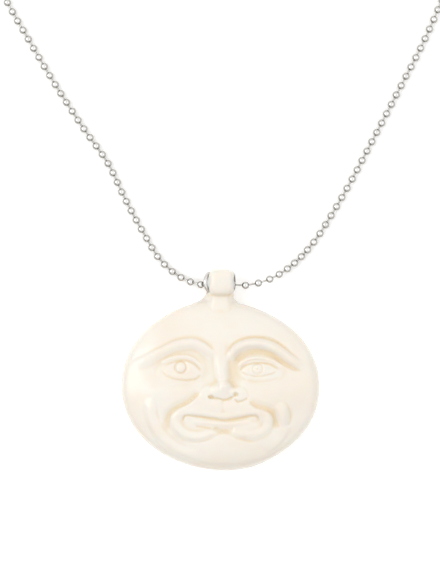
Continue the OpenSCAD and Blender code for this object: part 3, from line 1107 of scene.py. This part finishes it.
@dataclass
class Carving:
    """The pendant: moon face, neck and bail in one piece of bone. Sizes in mm from the face's centre.

    Attributes:
        centre: The face's centre, in metres.
        bail: The bail.
        neck: The neck.
        wear_and_painted_light: How the bone is tinted in its cuts and on its ridges: partly patina and worn
            pale, partly painted shade and highlight.
        width, height: Size of the face.
        dome: Height of its middle.
        rim: Height of its edge.
        fullness: Power of the dome's section: more is fuller.
        fall: How steeply its height falls off past the edge.
        bare_edge: Share of the radius over which the carving fades out at the edge.
        cells_x, cells_y: Cells of its mesh.
        edge: Height of the side, where its rounded foot starts.
        foot_steps: Rings of that foot.
        inset: How far the foot is drawn in, as a share of the distance from the centre.
        seam_reach: How far from a seam between two parts the points are evened out.
        seam_rounds: How often they move half the way to the middle of their neighbours.
        seam_from, seam_above: Where that starts, up and above the back.
        sharp: Angle from which an edge is shaded sharp, in degrees.
    """

    centre: Vector
    bail: Bail
    neck: Neck = Neck()
    wear_and_painted_light: WearAndPaintedLight = WearAndPaintedLight()
    width: float = 39.5
    height: float = 34.0
    dome: float = 6.2
    rim: float = 2.6
    fullness: int = 3
    fall: float = 8
    bare_edge: float = 0.08
    cells_x: int = 300
    cells_y: int = 250
    edge: float = 1.6
    foot_steps: int = 9
    inset: float = 0.05
    seam_reach: float = 0.5
    seam_rounds: int = 20
    seam_from: float = 12.5
    seam_above: float = 0.1
    sharp: float = 50

    def oval(self, angle: Field) -> Field:
        """Works out the face's outline.

        Args:
            angle: Angles from the right, in radians.

        Returns:
            The radius at each angle, in mm.
        """
        degrees = np.degrees(angle)
        share = 1.0
        for bulge in BULGES:
            off = (degrees - bulge.at + 180) % 360 - 180
            share = share + bulge.share * np.exp(-((off / bulge.spread) ** 2))
        return share / np.hypot(2 * np.cos(angle) / self.width, 2 * np.sin(angle) / self.height)

    def face_z(self, x: Field, y: Field) -> Field:
        """Works out the height of the carved face, the neck and the bail.

        Args:
            x: Places across, in mm.
            y: Places up, in mm.

        Returns:
            The height at each place, in mm.
        """
        share = np.hypot(x, y) / self.oval(np.arctan2(y, x))
        plain = self.rim + (self.dome - self.rim) * np.sqrt(np.clip(1 - share**self.fullness, 0, 1))
        plain = plain - self.fall * np.clip(share - 1, 0, None)
        carved = sum(feature.lift(x, y) for feature in (*MOUNDS, *RINGS, *FOLDS))
        face = plain + np.clip((1 - share) / self.bare_edge, 0, 1) * carved
        near = (np.abs(x) < self.neck.root_half) & (y > self.neck.root_from)
        return np.where(near, blend_max(face, self.neck.ridge_z(x, y, self.bail), self.neck.root), face)

    def disc_mesh(self) -> bpy.types.Mesh:
        """Makes the face: a square grid drawn out to the oval, a side and a flat back.

        Returns:
            The closed mesh, in metres from the face's centre.
        """
        u, v = np.meshgrid(np.linspace(-1, 1, self.cells_x + 1), np.linspace(-1, 1, self.cells_y + 1))
        dx, dy = u * np.sqrt(1 - v**2 / 2), v * np.sqrt(1 - u**2 / 2)
        angle = np.arctan2(dy, dx)
        reach = np.hypot(dx, dy) * self.oval(angle)
        x, y = reach * np.cos(angle), reach * np.sin(angle)
        return self.slab("disc", np.dstack([x, y, self.face_z(x, y)]), self.inset, 0)

    def neck_mesh(self) -> bpy.types.Mesh:
        """Makes the neck, which starts just under the face and flares out where it leaves it.

        Returns:
            The closed mesh, in metres from the face's centre.
        """
        n = self.neck
        side, y = np.meshgrid(np.linspace(-1, 1, n.cells + 1), np.linspace(n.start, n.end, n.cells + 1))
        half = n.half_w(side, y)
        x = side * half
        rounding = n.edge_z * np.clip(1 - (half - np.abs(x)) / n.edge_w, 0, 1) ** 2
        return self.slab("neck", np.dstack([x, y, self.face_z(x, y) - n.below - rounding]), n.inset, n.back)

    def slab(self, name: str, top: np.ndarray, inset: float, back: float) -> bpy.types.Mesh:
        """Closes a grid of top points with a side, rounded in at its foot, and a flat back.

        Args:
            name: The mesh's name.
            top: The grid's points, in mm from the face's centre.
            inset: How far the foot is drawn in, as a share of the distance from the centre.
            back: The height of the back, in mm.

        Returns:
            The mesh, in metres.
        """
        grid = top.reshape(-1, 3)
        number = np.arange(len(grid)).reshape(top.shape[:2])
        quads = np.dstack([number[:-1, :-1], number[:-1, 1:], number[1:, 1:], number[1:, :-1]])
        edge = np.concatenate([number[0, :-1], number[:-1, -1], number[-1, :0:-1], number[:0:-1, 0]])
        rings, points = [edge], [grid]
        for t in np.radians(np.linspace(0, 90, self.foot_steps)):
            ring = grid[edge] * [1, 1, 0] * (1 - inset * (1 - math.cos(t)))
            ring[:, 2] = back + (self.edge - back) * (1 - math.sin(t))
            rings.append(np.arange(len(edge)) + sum(map(len, points)))
            points.append(ring)
        faces = quads.reshape(-1, 4).tolist()
        for upper, lower in zip(rings, rings[1:]):
            faces += np.c_[upper, lower, np.roll(lower, -1), np.roll(upper, -1)].tolist()
        faces.append(rings[-1][::-1].tolist())
        return new_mesh(name, np.vstack(points) * MM, faces)

    def soften(self, mesh: bpy.types.Mesh, parts: Sequence[BVHTree]) -> None:
        """Rounds the seams where two of the joined parts meet.

        Args:
            mesh: The joined mesh, in metres from the face's centre.
            parts: The parts that were joined.
        """
        points = mesh_points(mesh)
        weight = np.zeros(len(points))
        for i in np.flatnonzero(points[:, 1] > self.seam_from * MM):
            offs = sorted(tree.find_nearest(points[i])[3] / MM for tree in parts)
            weight[i] = max(0.0, 1 - offs[1] / self.seam_reach)
        weight[points[:, 2] < self.seam_above * MM] = 0
        ends = np.empty(len(mesh.edges) * 2, int)
        mesh.edges.foreach_get("vertices", ends)
        a, b = ends.reshape(-1, 2).T
        count = np.bincount(np.r_[a, b], minlength=len(points))[:, None]
        for _ in range(self.seam_rounds):
            total = np.zeros_like(points)
            np.add.at(total, a, points[b])
            np.add.at(total, b, points[a])
            points += (total / count - points) * 0.5 * weight[:, None]
        mesh.vertices.foreach_set("co", points.ravel())
        mesh.update()

    def paint_wear_shade_and_highlight(self, mesh: bpy.types.Mesh) -> None:
        """Stores the tint of each point, partly patina and worn pale, partly painted shade and highlight,
        as the attribute "relief", read off a grid over the face.

        Args:
            mesh: The finished mesh, in metres from the face's centre.
        """
        wear_and_painted_light = self.wear_and_painted_light
        xs = np.arange(-wear_and_painted_light.half_w, wear_and_painted_light.half_w, wear_and_painted_light.step)
        ys = np.arange(-wear_and_painted_light.half_h, wear_and_painted_light.half_h, wear_and_painted_light.step)
        wear_shade_and_highlight = wear_and_painted_light.wear_shade_and_highlight(self.face_z(*np.meshgrid(xs, ys)))
        points = mesh_points(mesh) / MM
        # A point past the grid's last cell reads that cell
        col = np.clip((points[:, 0] - xs[0]) / wear_and_painted_light.step, 0, len(xs) - 1.001)
        row = np.clip((points[:, 1] - ys[0]) / wear_and_painted_light.step, 0, len(ys) - 1.001)
        i, j = row.astype(int), col.astype(int)
        fy, fx = row - i, col - j
        low = wear_shade_and_highlight[i, j] * (1 - fx) + wear_shade_and_highlight[i, j + 1] * fx
        high = wear_shade_and_highlight[i + 1, j] * (1 - fx) + wear_shade_and_highlight[i + 1, j + 1] * fx
        far = np.hypot(points[:, 0], points[:, 1])
        inside = far < wear_and_painted_light.reach * self.oval(np.arctan2(points[:, 1], points[:, 0]))
        value = np.where(inside & (points[:, 2] > wear_and_painted_light.lowest), low * (1 - fy) + high * fy, 0)
        # The line under the bail is painted shade, where the bail meets the neck
        store(mesh, "wear_shade_and_highlight", np.maximum(value, wear_and_painted_light.crease(points)))

    def build(self, finish: BoneFinish) -> bpy.types.Object:
        """Joins the parts, drills the bail and dresses the piece.

        Args:
            finish: The bone's finish.

        Returns:
            The piece, in the frame.
        """
        parts = [self.disc_mesh(), self.neck_mesh(), self.bail.barrel()]
        trees = []
        for mesh in parts:
            corners = [v.co for v in mesh.vertices]
            trees.append(BVHTree.FromPolygons(corners, [p.vertices for p in mesh.polygons]))
        piece = new_object("carved_moon", parts[0])
        for part in parts[1:]:
            combine(piece, part, Mode.JOIN)
        self.soften(piece.data, trees)
        combine(piece, self.bail.hole(), Mode.CUT)
        self.paint_wear_shade_and_highlight(piece.data)
        piece.data.transform(Matrix.Translation(self.centre))
        piece.data.set_sharp_from_angle(angle=math.radians(self.sharp))
        seat(piece, "moon_pendant", finish.material())
        return piece


@dataclass
class BailLiner:
    """The silver sleeve in the bail, with a rolled rim at its left mouth. Sizes in mm.

    Attributes:
        centre: The face's centre, in metres.
        bail: The bail that it lines.
        lip: Bevel of its right mouth.
        rim_past: How far past its top the rim is rolled in, in degrees.
        rim_steps: Steps of the rim.
        bend_from, bend_over: How far from the rim its bend starts, and the length that it takes.
        tarnish_and_side_shade: Share of the painted shade on its sides.
        sharp: Angle from which an edge is shaded sharp, in degrees.
    """

    centre: Vector
    bail: Bail
    lip: float = 0.06
    rim_past: float = 80
    rim_steps: int = 28
    bend_from: float = 1.0
    bend_over: float = 0.6
    tarnish_and_side_shade: float = 0.55
    sharp: float = 40

    def build(self, finish: SilverFinish) -> bpy.types.Object:
        """Turns the sleeve's profile about the hole's axis and dresses the piece.

        Args:
            finish: The silver's finish.

        Returns:
            The piece, in the frame.
        """
        b, lip, end = self.bail, self.lip, self.bail.length / 2
        profile = [(b.sleeve, b.rim_at + b.rim_wire), (b.sleeve, end - lip), (b.sleeve - lip, end)]
        profile += [(b.bore + lip, end), (b.bore, end - lip), (b.bore, 0.0)]
        inner = math.degrees(math.acos((b.bore - b.sleeve) / b.rim_wire))
        profile += arc((b.sleeve, b.rim_at), b.rim_wire, inner, 360 + self.rim_past, self.rim_steps)
        mesh = lathe("liner", profile, True, Matrix.Identity(4))
        # The rim's sides are bent back a little, round the end of the bone
        points = mesh_points(mesh) / MM
        near = ease((b.rim_at + self.bend_from - points[:, 2]) / self.bend_over)
        points[:, 2] += b.rim_bend * ((points[:, 1] / b.sleeve) ** 2 * near)
        mesh.vertices.foreach_set("co", (points * MM).ravel())
        mesh.transform(b.place(self.centre))
        mesh.update()
        # Painted shade on the sleeve's sides
        paint_side_shade(mesh, self.tarnish_and_side_shade)
        piece = new_object("bail_sleeve", mesh)
        mesh.set_sharp_from_angle(angle=math.radians(self.sharp))
        seat(piece, "bail_liner", finish.material())
        return piece


@dataclass
class ChainRoute:
    """Where the balls of the chain lie. Sizes in mm from the face's centre.

    Attributes:
        ball_r: Radius of a ball.
        pitch: Distance between two balls, which is fitted to the loop's length.
        back_x, back_y, back_r: Middle and radius of the loop's round back.
        back_turns: First and last angle of the points on it, and the step between them, in degrees.
        clasp_r: Radius of the clasp, which lifts the balls in it off the table.
        knot_steps: Pieces of the curve between two points.
        right, left: Points of each side, from the bail up.
        pulled_gaps: Distances between the balls in and beside the bail, where the chain is pulled.
        bail_lift: Height gained near the bail, by the way along the chain from the bail's middle.
        clasp_lift: Share of the clasp's lift, by the way along the chain from the clasp's middle.
    """

    ball_r: float = 0.75
    pitch: float = 2.11
    back_x: float = 0.5
    back_y: float = 136.7
    back_r: float = 58.0
    back_turns: tuple[int, int, int] = (-10, 190, 20)
    clasp_r: float = 1.2
    knot_steps: int = 16
    right: tuple[Point, ...] = (
        (2.4, 19.8), (5, 19.7), (9.8, 20.9), (14.8, 24.1), (18.6, 28.2), (22.2, 33.7),
        (25.7, 39.7), (29.9, 47.6), (35.9, 59.1), (40.6, 68.2), (43.8, 75.4),
    )
    left: tuple[Point, ...] = (
        (-1.4, 19.85), (-3.9, 19.85), (-7.4, 21), (-11.8, 24.5), (-15.3, 30), (-19.4, 37.6),
        (-22.4, 43.9), (-27.2, 50.8), (-33.1, 59.9), (-38.5, 69), (-42.5, 76),
    )
    pulled_gaps: tuple[float, ...] = (2.62, 2.62, 2.41, 2.13, 1.99, 1.84, 1.88, 1.84, 1.98)
    bail_lift: tuple[Point, ...] = (
        (-12, 0), (-10, 0.02), (-8, 0.2), (-5.9, 0.75), (-3.8, 1.65), (2.4, 2.6), (5, 2.55),
        (7.6, 2.15), (9.9, 1.5), (12, 0.8), (13.9, 0.36), (15.8, 0.13), (17.6, 0.02), (19.5, 0),
    )
    clasp_lift: tuple[Point, ...] = ((1.2, 1), (3.2, 0.73), (5.3, 0.27), (7.4, 0))

    def __post_init__(self) -> None:
        """Measures the loop and spaces the balls along it."""
        first, last, step = self.back_turns
        turn = np.radians(np.arange(first, last + 1, step))
        back = np.c_[self.back_x + self.back_r * np.cos(turn), self.back_y + self.back_r * np.sin(turn)]
        self.knots = np.vstack([self.right, back, self.left[::-1]])
        n = self.knot_steps
        parts = [self.span(i, k / n) for i in range(len(self.knots)) for k in range(n)]
        self.line = np.array([*parts, parts[0]])
        self.reach = np.r_[0, np.cumsum(np.linalg.norm(np.diff(self.line, axis=0), axis=1))]
        self.length = float(self.reach[-1])
        pulled = sum(self.pulled_gaps)
        even = round((self.length - pulled) / self.pitch)
        self.even_gap = (self.length - pulled) / even
        starts = np.r_[0, np.cumsum(self.pulled_gaps)]
        self.ways = np.r_[starts, starts[-1] + self.even_gap * np.arange(1, even)]
        self.end_ball = math.floor(len(self.ways) / 2 + 0.5)

    def tangent(self, i: int) -> np.ndarray:
        """Works out the direction of the loop at a knot, weighted by the distances to its neighbours.

        Args:
            i: The knot's number.

        Returns:
            The direction, of a length near 1.
        """
        a, b, c = (self.knots[k % len(self.knots)] for k in (i - 1, i, i + 1))
        ab, bc = np.linalg.norm(b - a), np.linalg.norm(c - b)
        return ((b - a) / ab * bc + (c - b) / bc * ab) / (ab + bc)

    def span(self, i: int, t: float) -> np.ndarray:
        """Works out a point between two knots.

        Args:
            i: The first knot's number.
            t: Share of the way to the next one.

        Returns:
            The point, in mm.
        """
        b, c = self.knots[i], self.knots[(i + 1) % len(self.knots)]
        size = np.linalg.norm(c - b)
        ends = b * (2 * t**3 - 3 * t**2 + 1) + c * (3 * t**2 - 2 * t**3)
        leaving = self.tangent(i) * size * (t**3 - 2 * t**2 + t)
        return ends + leaving + self.tangent(i + 1) * size * (t**3 - t**2)

    def balls(self) -> np.ndarray:
        """Places the balls.

        Returns:
            Their middles, in mm, one to a row.
        """
        s = self.ways
        flat = np.c_[np.interp(s, self.reach, self.line[:, 0]), np.interp(s, self.reach, self.line[:, 1])]
        from_bail = np.where(s > self.length / 2, s - self.length, s) + self.right[0][0]
        from_clasp = np.abs(s - (s[self.end_ball] + self.even_gap / 2))
        z = self.ball_r + np.interp(from_bail, *np.transpose(self.bail_lift))
        z += (self.clasp_r - self.ball_r) * np.interp(from_clasp, *np.transpose(self.clasp_lift))
        return np.c_[flat, z]


@dataclass
class BallChain:
    """The chain: drilled hollow balls with a pin between each two. Sizes in mm.

    Attributes:
        centre: The face's centre, in metres.
        route: Where its balls lie.
        pin_r: Radius of a pin.
        pin_sides: Sides of a pin.
        hole_deep: How deep each pin's hole is sunk into its ball.
        segments, rings: Faces round a ball, and from hole to hole.
        pole: Share of the radius beyond which a ball's point is sunk to the bottom of its hole.
        tarnish_and_side_shade: Share of the painted shade on its sides.
        sharp: Angle from which an edge is shaded sharp, in degrees.
    """

    centre: Vector
    route: ChainRoute
    pin_r: float = 0.18
    pin_sides: int = 8
    hole_deep: float = 0.3
    segments: int = 16
    rings: int = 10
    pole: float = 0.99
    tarnish_and_side_shade: float = 1.0
    sharp: float = 60

    def beside(self, w: Wiring, points: bpy.types.NodeSocket, step: int) -> bpy.types.NodeSocket:
        """Finds the place of a point's neighbour in the loop.

        Args:
            w: The tree's wiring.
            points: The loop's points.
            step: How many points later it comes, or earlier where this is below 0.

        Returns:
            The neighbour's place.
        """
        index = w.add("GeometryNodeInputIndex").outputs[0]
        count = w.add("GeometryNodeAttributeDomainSize", {"Geometry": points}).outputs["Point Count"]
        wrapped = w.math("MODULO", w.math("ADD", w.math("ADD", index, count), float(step)), count)
        place = w.add("GeometryNodeInputPosition").outputs[0]
        given = {"Index": wrapped, "Value": place}
        return w.add("GeometryNodeFieldAtIndex", given, data_type="FLOAT_VECTOR").outputs[0]

    def aim(self, w: Wiring, way: bpy.types.NodeSocket) -> bpy.types.NodeSocket:
        """Adds the turn that takes the Z axis to a direction."""
        return w.add("FunctionNodeAlignRotationToVector", {"Vector": way}, axis="Z").outputs[0]

    def balls(
        self, w: Wiring, given: bpy.types.NodeOutputs, way: bpy.types.NodeSocket
    ) -> bpy.types.NodeSocket:
        """Sets a drilled ball on each point.

        Args:
            w: The tree's wiring.
            given: The sockets of the tree's inputs.
            way: Direction of the chain at each point.

        Returns:
            The balls.
        """
        sizes = {"Segments": self.segments, "Rings": self.rings, "Radius": given["Ball Radius"]}
        ball = w.add("GeometryNodeMeshUVSphere", sizes).outputs["Mesh"]
        place = w.add("GeometryNodeInputPosition").outputs[0]
        height = w.add("ShaderNodeSeparateXYZ", {0: place}).outputs["Z"]
        pole = w.math("MULTIPLY", given["Ball Radius"], self.pole)
        at_pole = w.math("GREATER_THAN", w.math("ABSOLUTE", height), pole)
        sunk = w.math("MULTIPLY", w.math("SIGN", height), w.math("MULTIPLY", given["Hole Depth"], -1.0))
        push = w.add("ShaderNodeCombineXYZ", {"Z": sunk}).outputs[0]
        moves = {"Geometry": ball, "Selection": at_pole, "Offset": push}
        drilled = w.add("GeometryNodeSetPosition", moves).outputs[0]
        set_on = {"Points": given["Geometry"], "Instance": drilled, "Rotation": self.aim(w, way)}
        return w.add("GeometryNodeInstanceOnPoints", set_on).outputs[0]

    def pins(
        self, w: Wiring, given: bpy.types.NodeOutputs, step: bpy.types.NodeSocket
    ) -> bpy.types.NodeSocket:
        """Sets a pin in the gap after each linked point.

        Args:
            w: The tree's wiring.
            given: The sockets of the tree's inputs.
            step: The way from each point to the next.

        Returns:
            The pins.
        """
        size = w.add("ShaderNodeVectorMath", {0: step}, operation="LENGTH").outputs["Value"]
        free = w.math("SUBTRACT", size, w.math("MULTIPLY", given["Ball Radius"], 2.0))
        depth = w.math("ADD", free, w.math("MULTIPLY", given["Hole Depth"], 2.0))
        # The pins' turn and length are kept before their points move to the middle of each gap
        kept = given["Geometry"]
        for name, value, kind in (("turn", self.aim(w, step), "QUATERNION"), ("depth", depth, "FLOAT")):
            values = {"Geometry": kept, "Name": name, "Value": value}
            kept = w.add("GeometryNodeStoreNamedAttribute", values, data_type=kind).outputs[0]
        middle = w.add("ShaderNodeVectorMath", {0: step, "Scale": 0.5}, operation="SCALE").outputs[0]
        moved = w.add("GeometryNodeSetPosition", {"Geometry": kept, "Offset": middle}).outputs[0]
        linked, turn, depth = (
            w.add("GeometryNodeInputNamedAttribute", {"Name": name}, data_type=kind).outputs[0]
            for name, kind in (("linked", "BOOLEAN"), ("turn", "QUATERNION"), ("depth", "FLOAT"))
        )
        sizes = {"Vertices": self.pin_sides, "Radius": given["Pin Radius"], "Depth": 1.0}
        pin = w.add("GeometryNodeMeshCylinder", sizes).outputs["Mesh"]
        scale = w.add("ShaderNodeCombineXYZ", {"X": 1.0, "Y": 1.0, "Z": depth}).outputs[0]
        set_on = {"Points": moved, "Selection": linked, "Instance": pin, "Rotation": turn, "Scale": scale}
        return w.add("GeometryNodeInstanceOnPoints", set_on).outputs[0]

    def tree(self, material: bpy.types.Material) -> bpy.types.GeometryNodeTree:
        """Builds the nodes that set a ball on each point, and a pin from each point to the next.

        Args:
            material: The chain's material.

        Returns:
            The tree, with the sizes of ball, pin and hole as named inputs, in metres.
        """
        tree = bpy.data.node_groups.new("ball_chain", "GeometryNodeTree")
        w = Wiring(tree)
        tree.interface.new_socket("Geometry", in_out="INPUT", socket_type="NodeSocketGeometry")
        for name in ("Ball Radius", "Pin Radius", "Hole Depth"):
            tree.interface.new_socket(name, in_out="INPUT", socket_type="NodeSocketFloat")
        tree.interface.new_socket("Geometry", in_out="OUTPUT", socket_type="NodeSocketGeometry")
        given = w.add("NodeGroupInput").outputs
        place = w.add("GeometryNodeInputPosition").outputs[0]
        after, before = (self.beside(w, given["Geometry"], step) for step in (1, -1))
        balls = self.balls(w, given, w.vector("SUBTRACT", after, before))
        pins = self.pins(w, given, w.vector("SUBTRACT", after, place))
        both = w.add("GeometryNodeJoinGeometry")
        tree.links.new(balls, both.inputs[0])
        tree.links.new(pins, both.inputs[0])
        real = w.add("GeometryNodeRealizeInstances", {"Geometry": both.outputs[0]}).outputs[0]
        smooth = w.add("GeometryNodeSetShadeSmooth", {"Geometry": real}).outputs[0]
        dressed = w.add("GeometryNodeSetMaterial", {"Geometry": smooth, "Material": material}).outputs[0]
        w.add("NodeGroupOutput", {"Geometry": dressed})
        return tree

    def build(self, finish: SilverFinish) -> bpy.types.Object:
        """Runs the nodes on the balls' middles and keeps the result as a plain mesh.

        Args:
            finish: The silver's finish.

        Returns:
            The piece, in the frame.
        """
        material = finish.material()
        middles = self.route.balls() * MM + np.array(self.centre)
        mesh = new_mesh("chain_points", middles, [])
        linked = np.arange(len(middles)) != self.route.end_ball
        mesh.attributes.new("linked", "BOOLEAN", "POINT").data.foreach_set("value", linked)
        piece = new_object("ball_strand", mesh)
        modifier = piece.modifiers.new("chain", "NODES")
        modifier.node_group = self.tree(material)
        sizes = {"Ball Radius": self.route.ball_r, "Pin Radius": self.pin_r, "Hole Depth": self.hole_deep}
        for item in modifier.node_group.interface.items_tree:
            if item.in_out == "INPUT" and item.name in sizes:
                modifier[item.identifier] = sizes[item.name] * MM
        bake_modifiers(piece)
        # Painted shade on the balls' sides
        paint_side_shade(piece.data, self.tarnish_and_side_shade)
        piece.data.set_sharp_from_angle(angle=math.radians(self.sharp))
        seat(piece, "ball_chain", material)
        return piece


@dataclass
class Clasp:
    """The slotted sleeve at the back of the loop, whose CAD solid stays as it is.

    Attributes:
        node: The CAD node's object.
        tarnish_and_side_shade: Share of the painted shade on its sides.
    """

    node: bpy.types.Object
    tarnish_and_side_shade: float = 0.8

    def dress(self, finish: SilverFinish) -> None:
        """Gives the clasp its silver, with painted shade on its sides.

        Args:
            finish: The silver's finish.
        """
        mesh = self.node.data
        mesh.materials.clear()
        mesh.materials.append(finish.material())
        # Painted shade on the clasp's sides
        paint_side_shade(mesh, self.tarnish_and_side_shade)
        LOG.info("clasp: %d faces, dressed as it is", len(mesh.polygons))


@dataclass(frozen=True)
class Softbox:
    """A square soft light.

    Attributes:
        name: The light's name.
        at: Its place, in mm from the face's centre.
        size: Its width, in mm.
        power: Its power, in watts.
    """

    name: str
    at: Point3
    size: float
    power: float

    def hang(self, centre: Vector, aim: Vector) -> None:
        """Adds the light to the scene.

        Args:
            centre: The face's centre, in metres.
            aim: The point that the light faces, in metres.
        """
        light = bpy.data.lights.new(self.name, "AREA")
        light.shape = "SQUARE"
        light.size = self.size * MM
        light.energy = self.power
        lamp = bpy.data.objects.new(self.name, light)
        lamp.location = centre + Vector(self.at) * MM
        lamp.rotation_euler = (aim - lamp.location).to_track_quat("-Z", "Y").to_euler()
        bpy.context.scene.collection.objects.link(lamp)


@dataclass
class Studio:
    """White table, soft lights and a camera over the middle of the photograph. Sizes in mm.

    Attributes:
        centre: The face's centre, in metres.
        frame_h: Height of what the camera shows.
        look_x, look_y: The point under the camera, from the face's centre.
        focus_z: Height at which frame_h holds.
        camera_z: Height of the camera.
        camera_limits: Nearest and farthest distance that it shows, in metres.
        table_half: Half the width of the table.
        aim: The point that the lights face, from the face's centre.
        softboxes: The lights.
        horizon: Heights in the room between which its wall turns into its ceiling, as parts of 1.
        dark_way: The direction in which the wall is dark, at the lower left of the photograph.
        dark_limits: How far towards it the wall starts to darken, and where it is darkest.
        wall: Brightness of the wall at these two.
        ceiling: Brightness of the ceiling.
        strength: Strength of the room's light.
    """

    centre: Vector
    frame_h: float = 115.6
    look_x: float = -0.08
    look_y: float = 18.96
    focus_z: float = 2.0
    camera_z: float = 620.0
    camera_limits: Point = (0.01, 10)
    table_half: float = 900
    aim: Point3 = (0, 20, 0)
    softboxes: tuple[Softbox, ...] = (
        Softbox("key", (-425, 90, 420), 340, 0.85),
        Softbox("fill", (330, 60, 380), 260, 0.12),
    )
    horizon: Point = (0.12, 0.58)
    dark_way: Point3 = (-0.5, -0.87, 0)
    dark_limits: Point = (-0.2, 0.8)
    wall: Point = (0.8, 0.05)
    ceiling: float = 1.2
    strength: float = 0.86

    def table(self) -> None:
        """Adds the table top, far wider than the necklace."""
        half = self.table_half * MM
        points = np.array([(-half, -half, 0), (half, -half, 0), (half, half, 0), (-half, half, 0)])
        top = new_object("table_top", new_mesh("table_top", points, [(0, 1, 2, 3)]))
        top.data.materials.append(TableFinish().material())

    def surround(self) -> None:
        """Makes the room: white overhead, with a wall that is dark at the lower left of the photograph."""
        world = bpy.data.worlds.new("room")
        bpy.context.scene.world = world
        world.use_nodes = True
        w = Wiring(world.node_tree)
        way = w.add("ShaderNodeTexCoord").outputs["Generated"]
        up = w.add("ShaderNodeSeparateXYZ", {0: way}).outputs["Z"]
        rise = w.spread(up, self.horizon, curve="SMOOTHSTEP")
        dot = w.add("ShaderNodeVectorMath", {0: way, 1: self.dark_way}, operation="DOT_PRODUCT")
        level = w.spread(dot.outputs["Value"], self.dark_limits, self.wall, "SMOOTHSTEP")
        wall = w.blend(level, (0, 0, 0, 1), (1, 1, 1, 1))
        colour = w.blend(rise, wall, (self.ceiling, self.ceiling, self.ceiling, 1))
        room = w.add("ShaderNodeBackground", {"Color": colour, "Strength": self.strength})
        w.add("ShaderNodeOutputWorld", {"Surface": room.outputs[0]})

    def camera(self) -> None:
        """Adds the camera, straight over the point that the photograph's middle shows."""
        data = bpy.data.cameras.new("camera")
        data.lens = data.sensor_width * (self.camera_z - self.focus_z) / self.frame_h
        data.clip_start, data.clip_end = self.camera_limits
        camera = bpy.data.objects.new("camera", data)
        camera.location = self.centre + Vector((self.look_x, self.look_y, self.camera_z)) * MM
        bpy.context.scene.collection.objects.link(camera)
        bpy.context.scene.camera = camera

    def build(self) -> None:
        """Sets the scene."""
        self.camera()
        self.table()
        for softbox in self.softboxes:
            softbox.hang(self.centre, self.centre + Vector(self.aim) * MM)
        self.surround()
        bpy.context.scene.view_settings.view_transform = "Standard"


def main() -> None:
    """Loads the frame and builds the pieces round it."""
    logging.basicConfig(level=logging.INFO, format="%(message)s")
    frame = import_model()
    mounts = {mount["name"]: mount for mount in frame["record"]["mounts"]}
    centre = Vector(mounts["pendant_back"]["pos_m"])
    Studio(centre).build()
    bail = Bail()
    Carving(centre, bail).build(BoneFinish())
    BailLiner(centre, bail).build(SilverFinish(Polish.WORN))
    BallChain(centre, ChainRoute()).build(SilverFinish(Polish.BRIGHT))
    Clasp(frame["nodes"]["clasp"]).dress(SilverFinish(Polish.WORN))


if __name__ == "__main__":
    main()
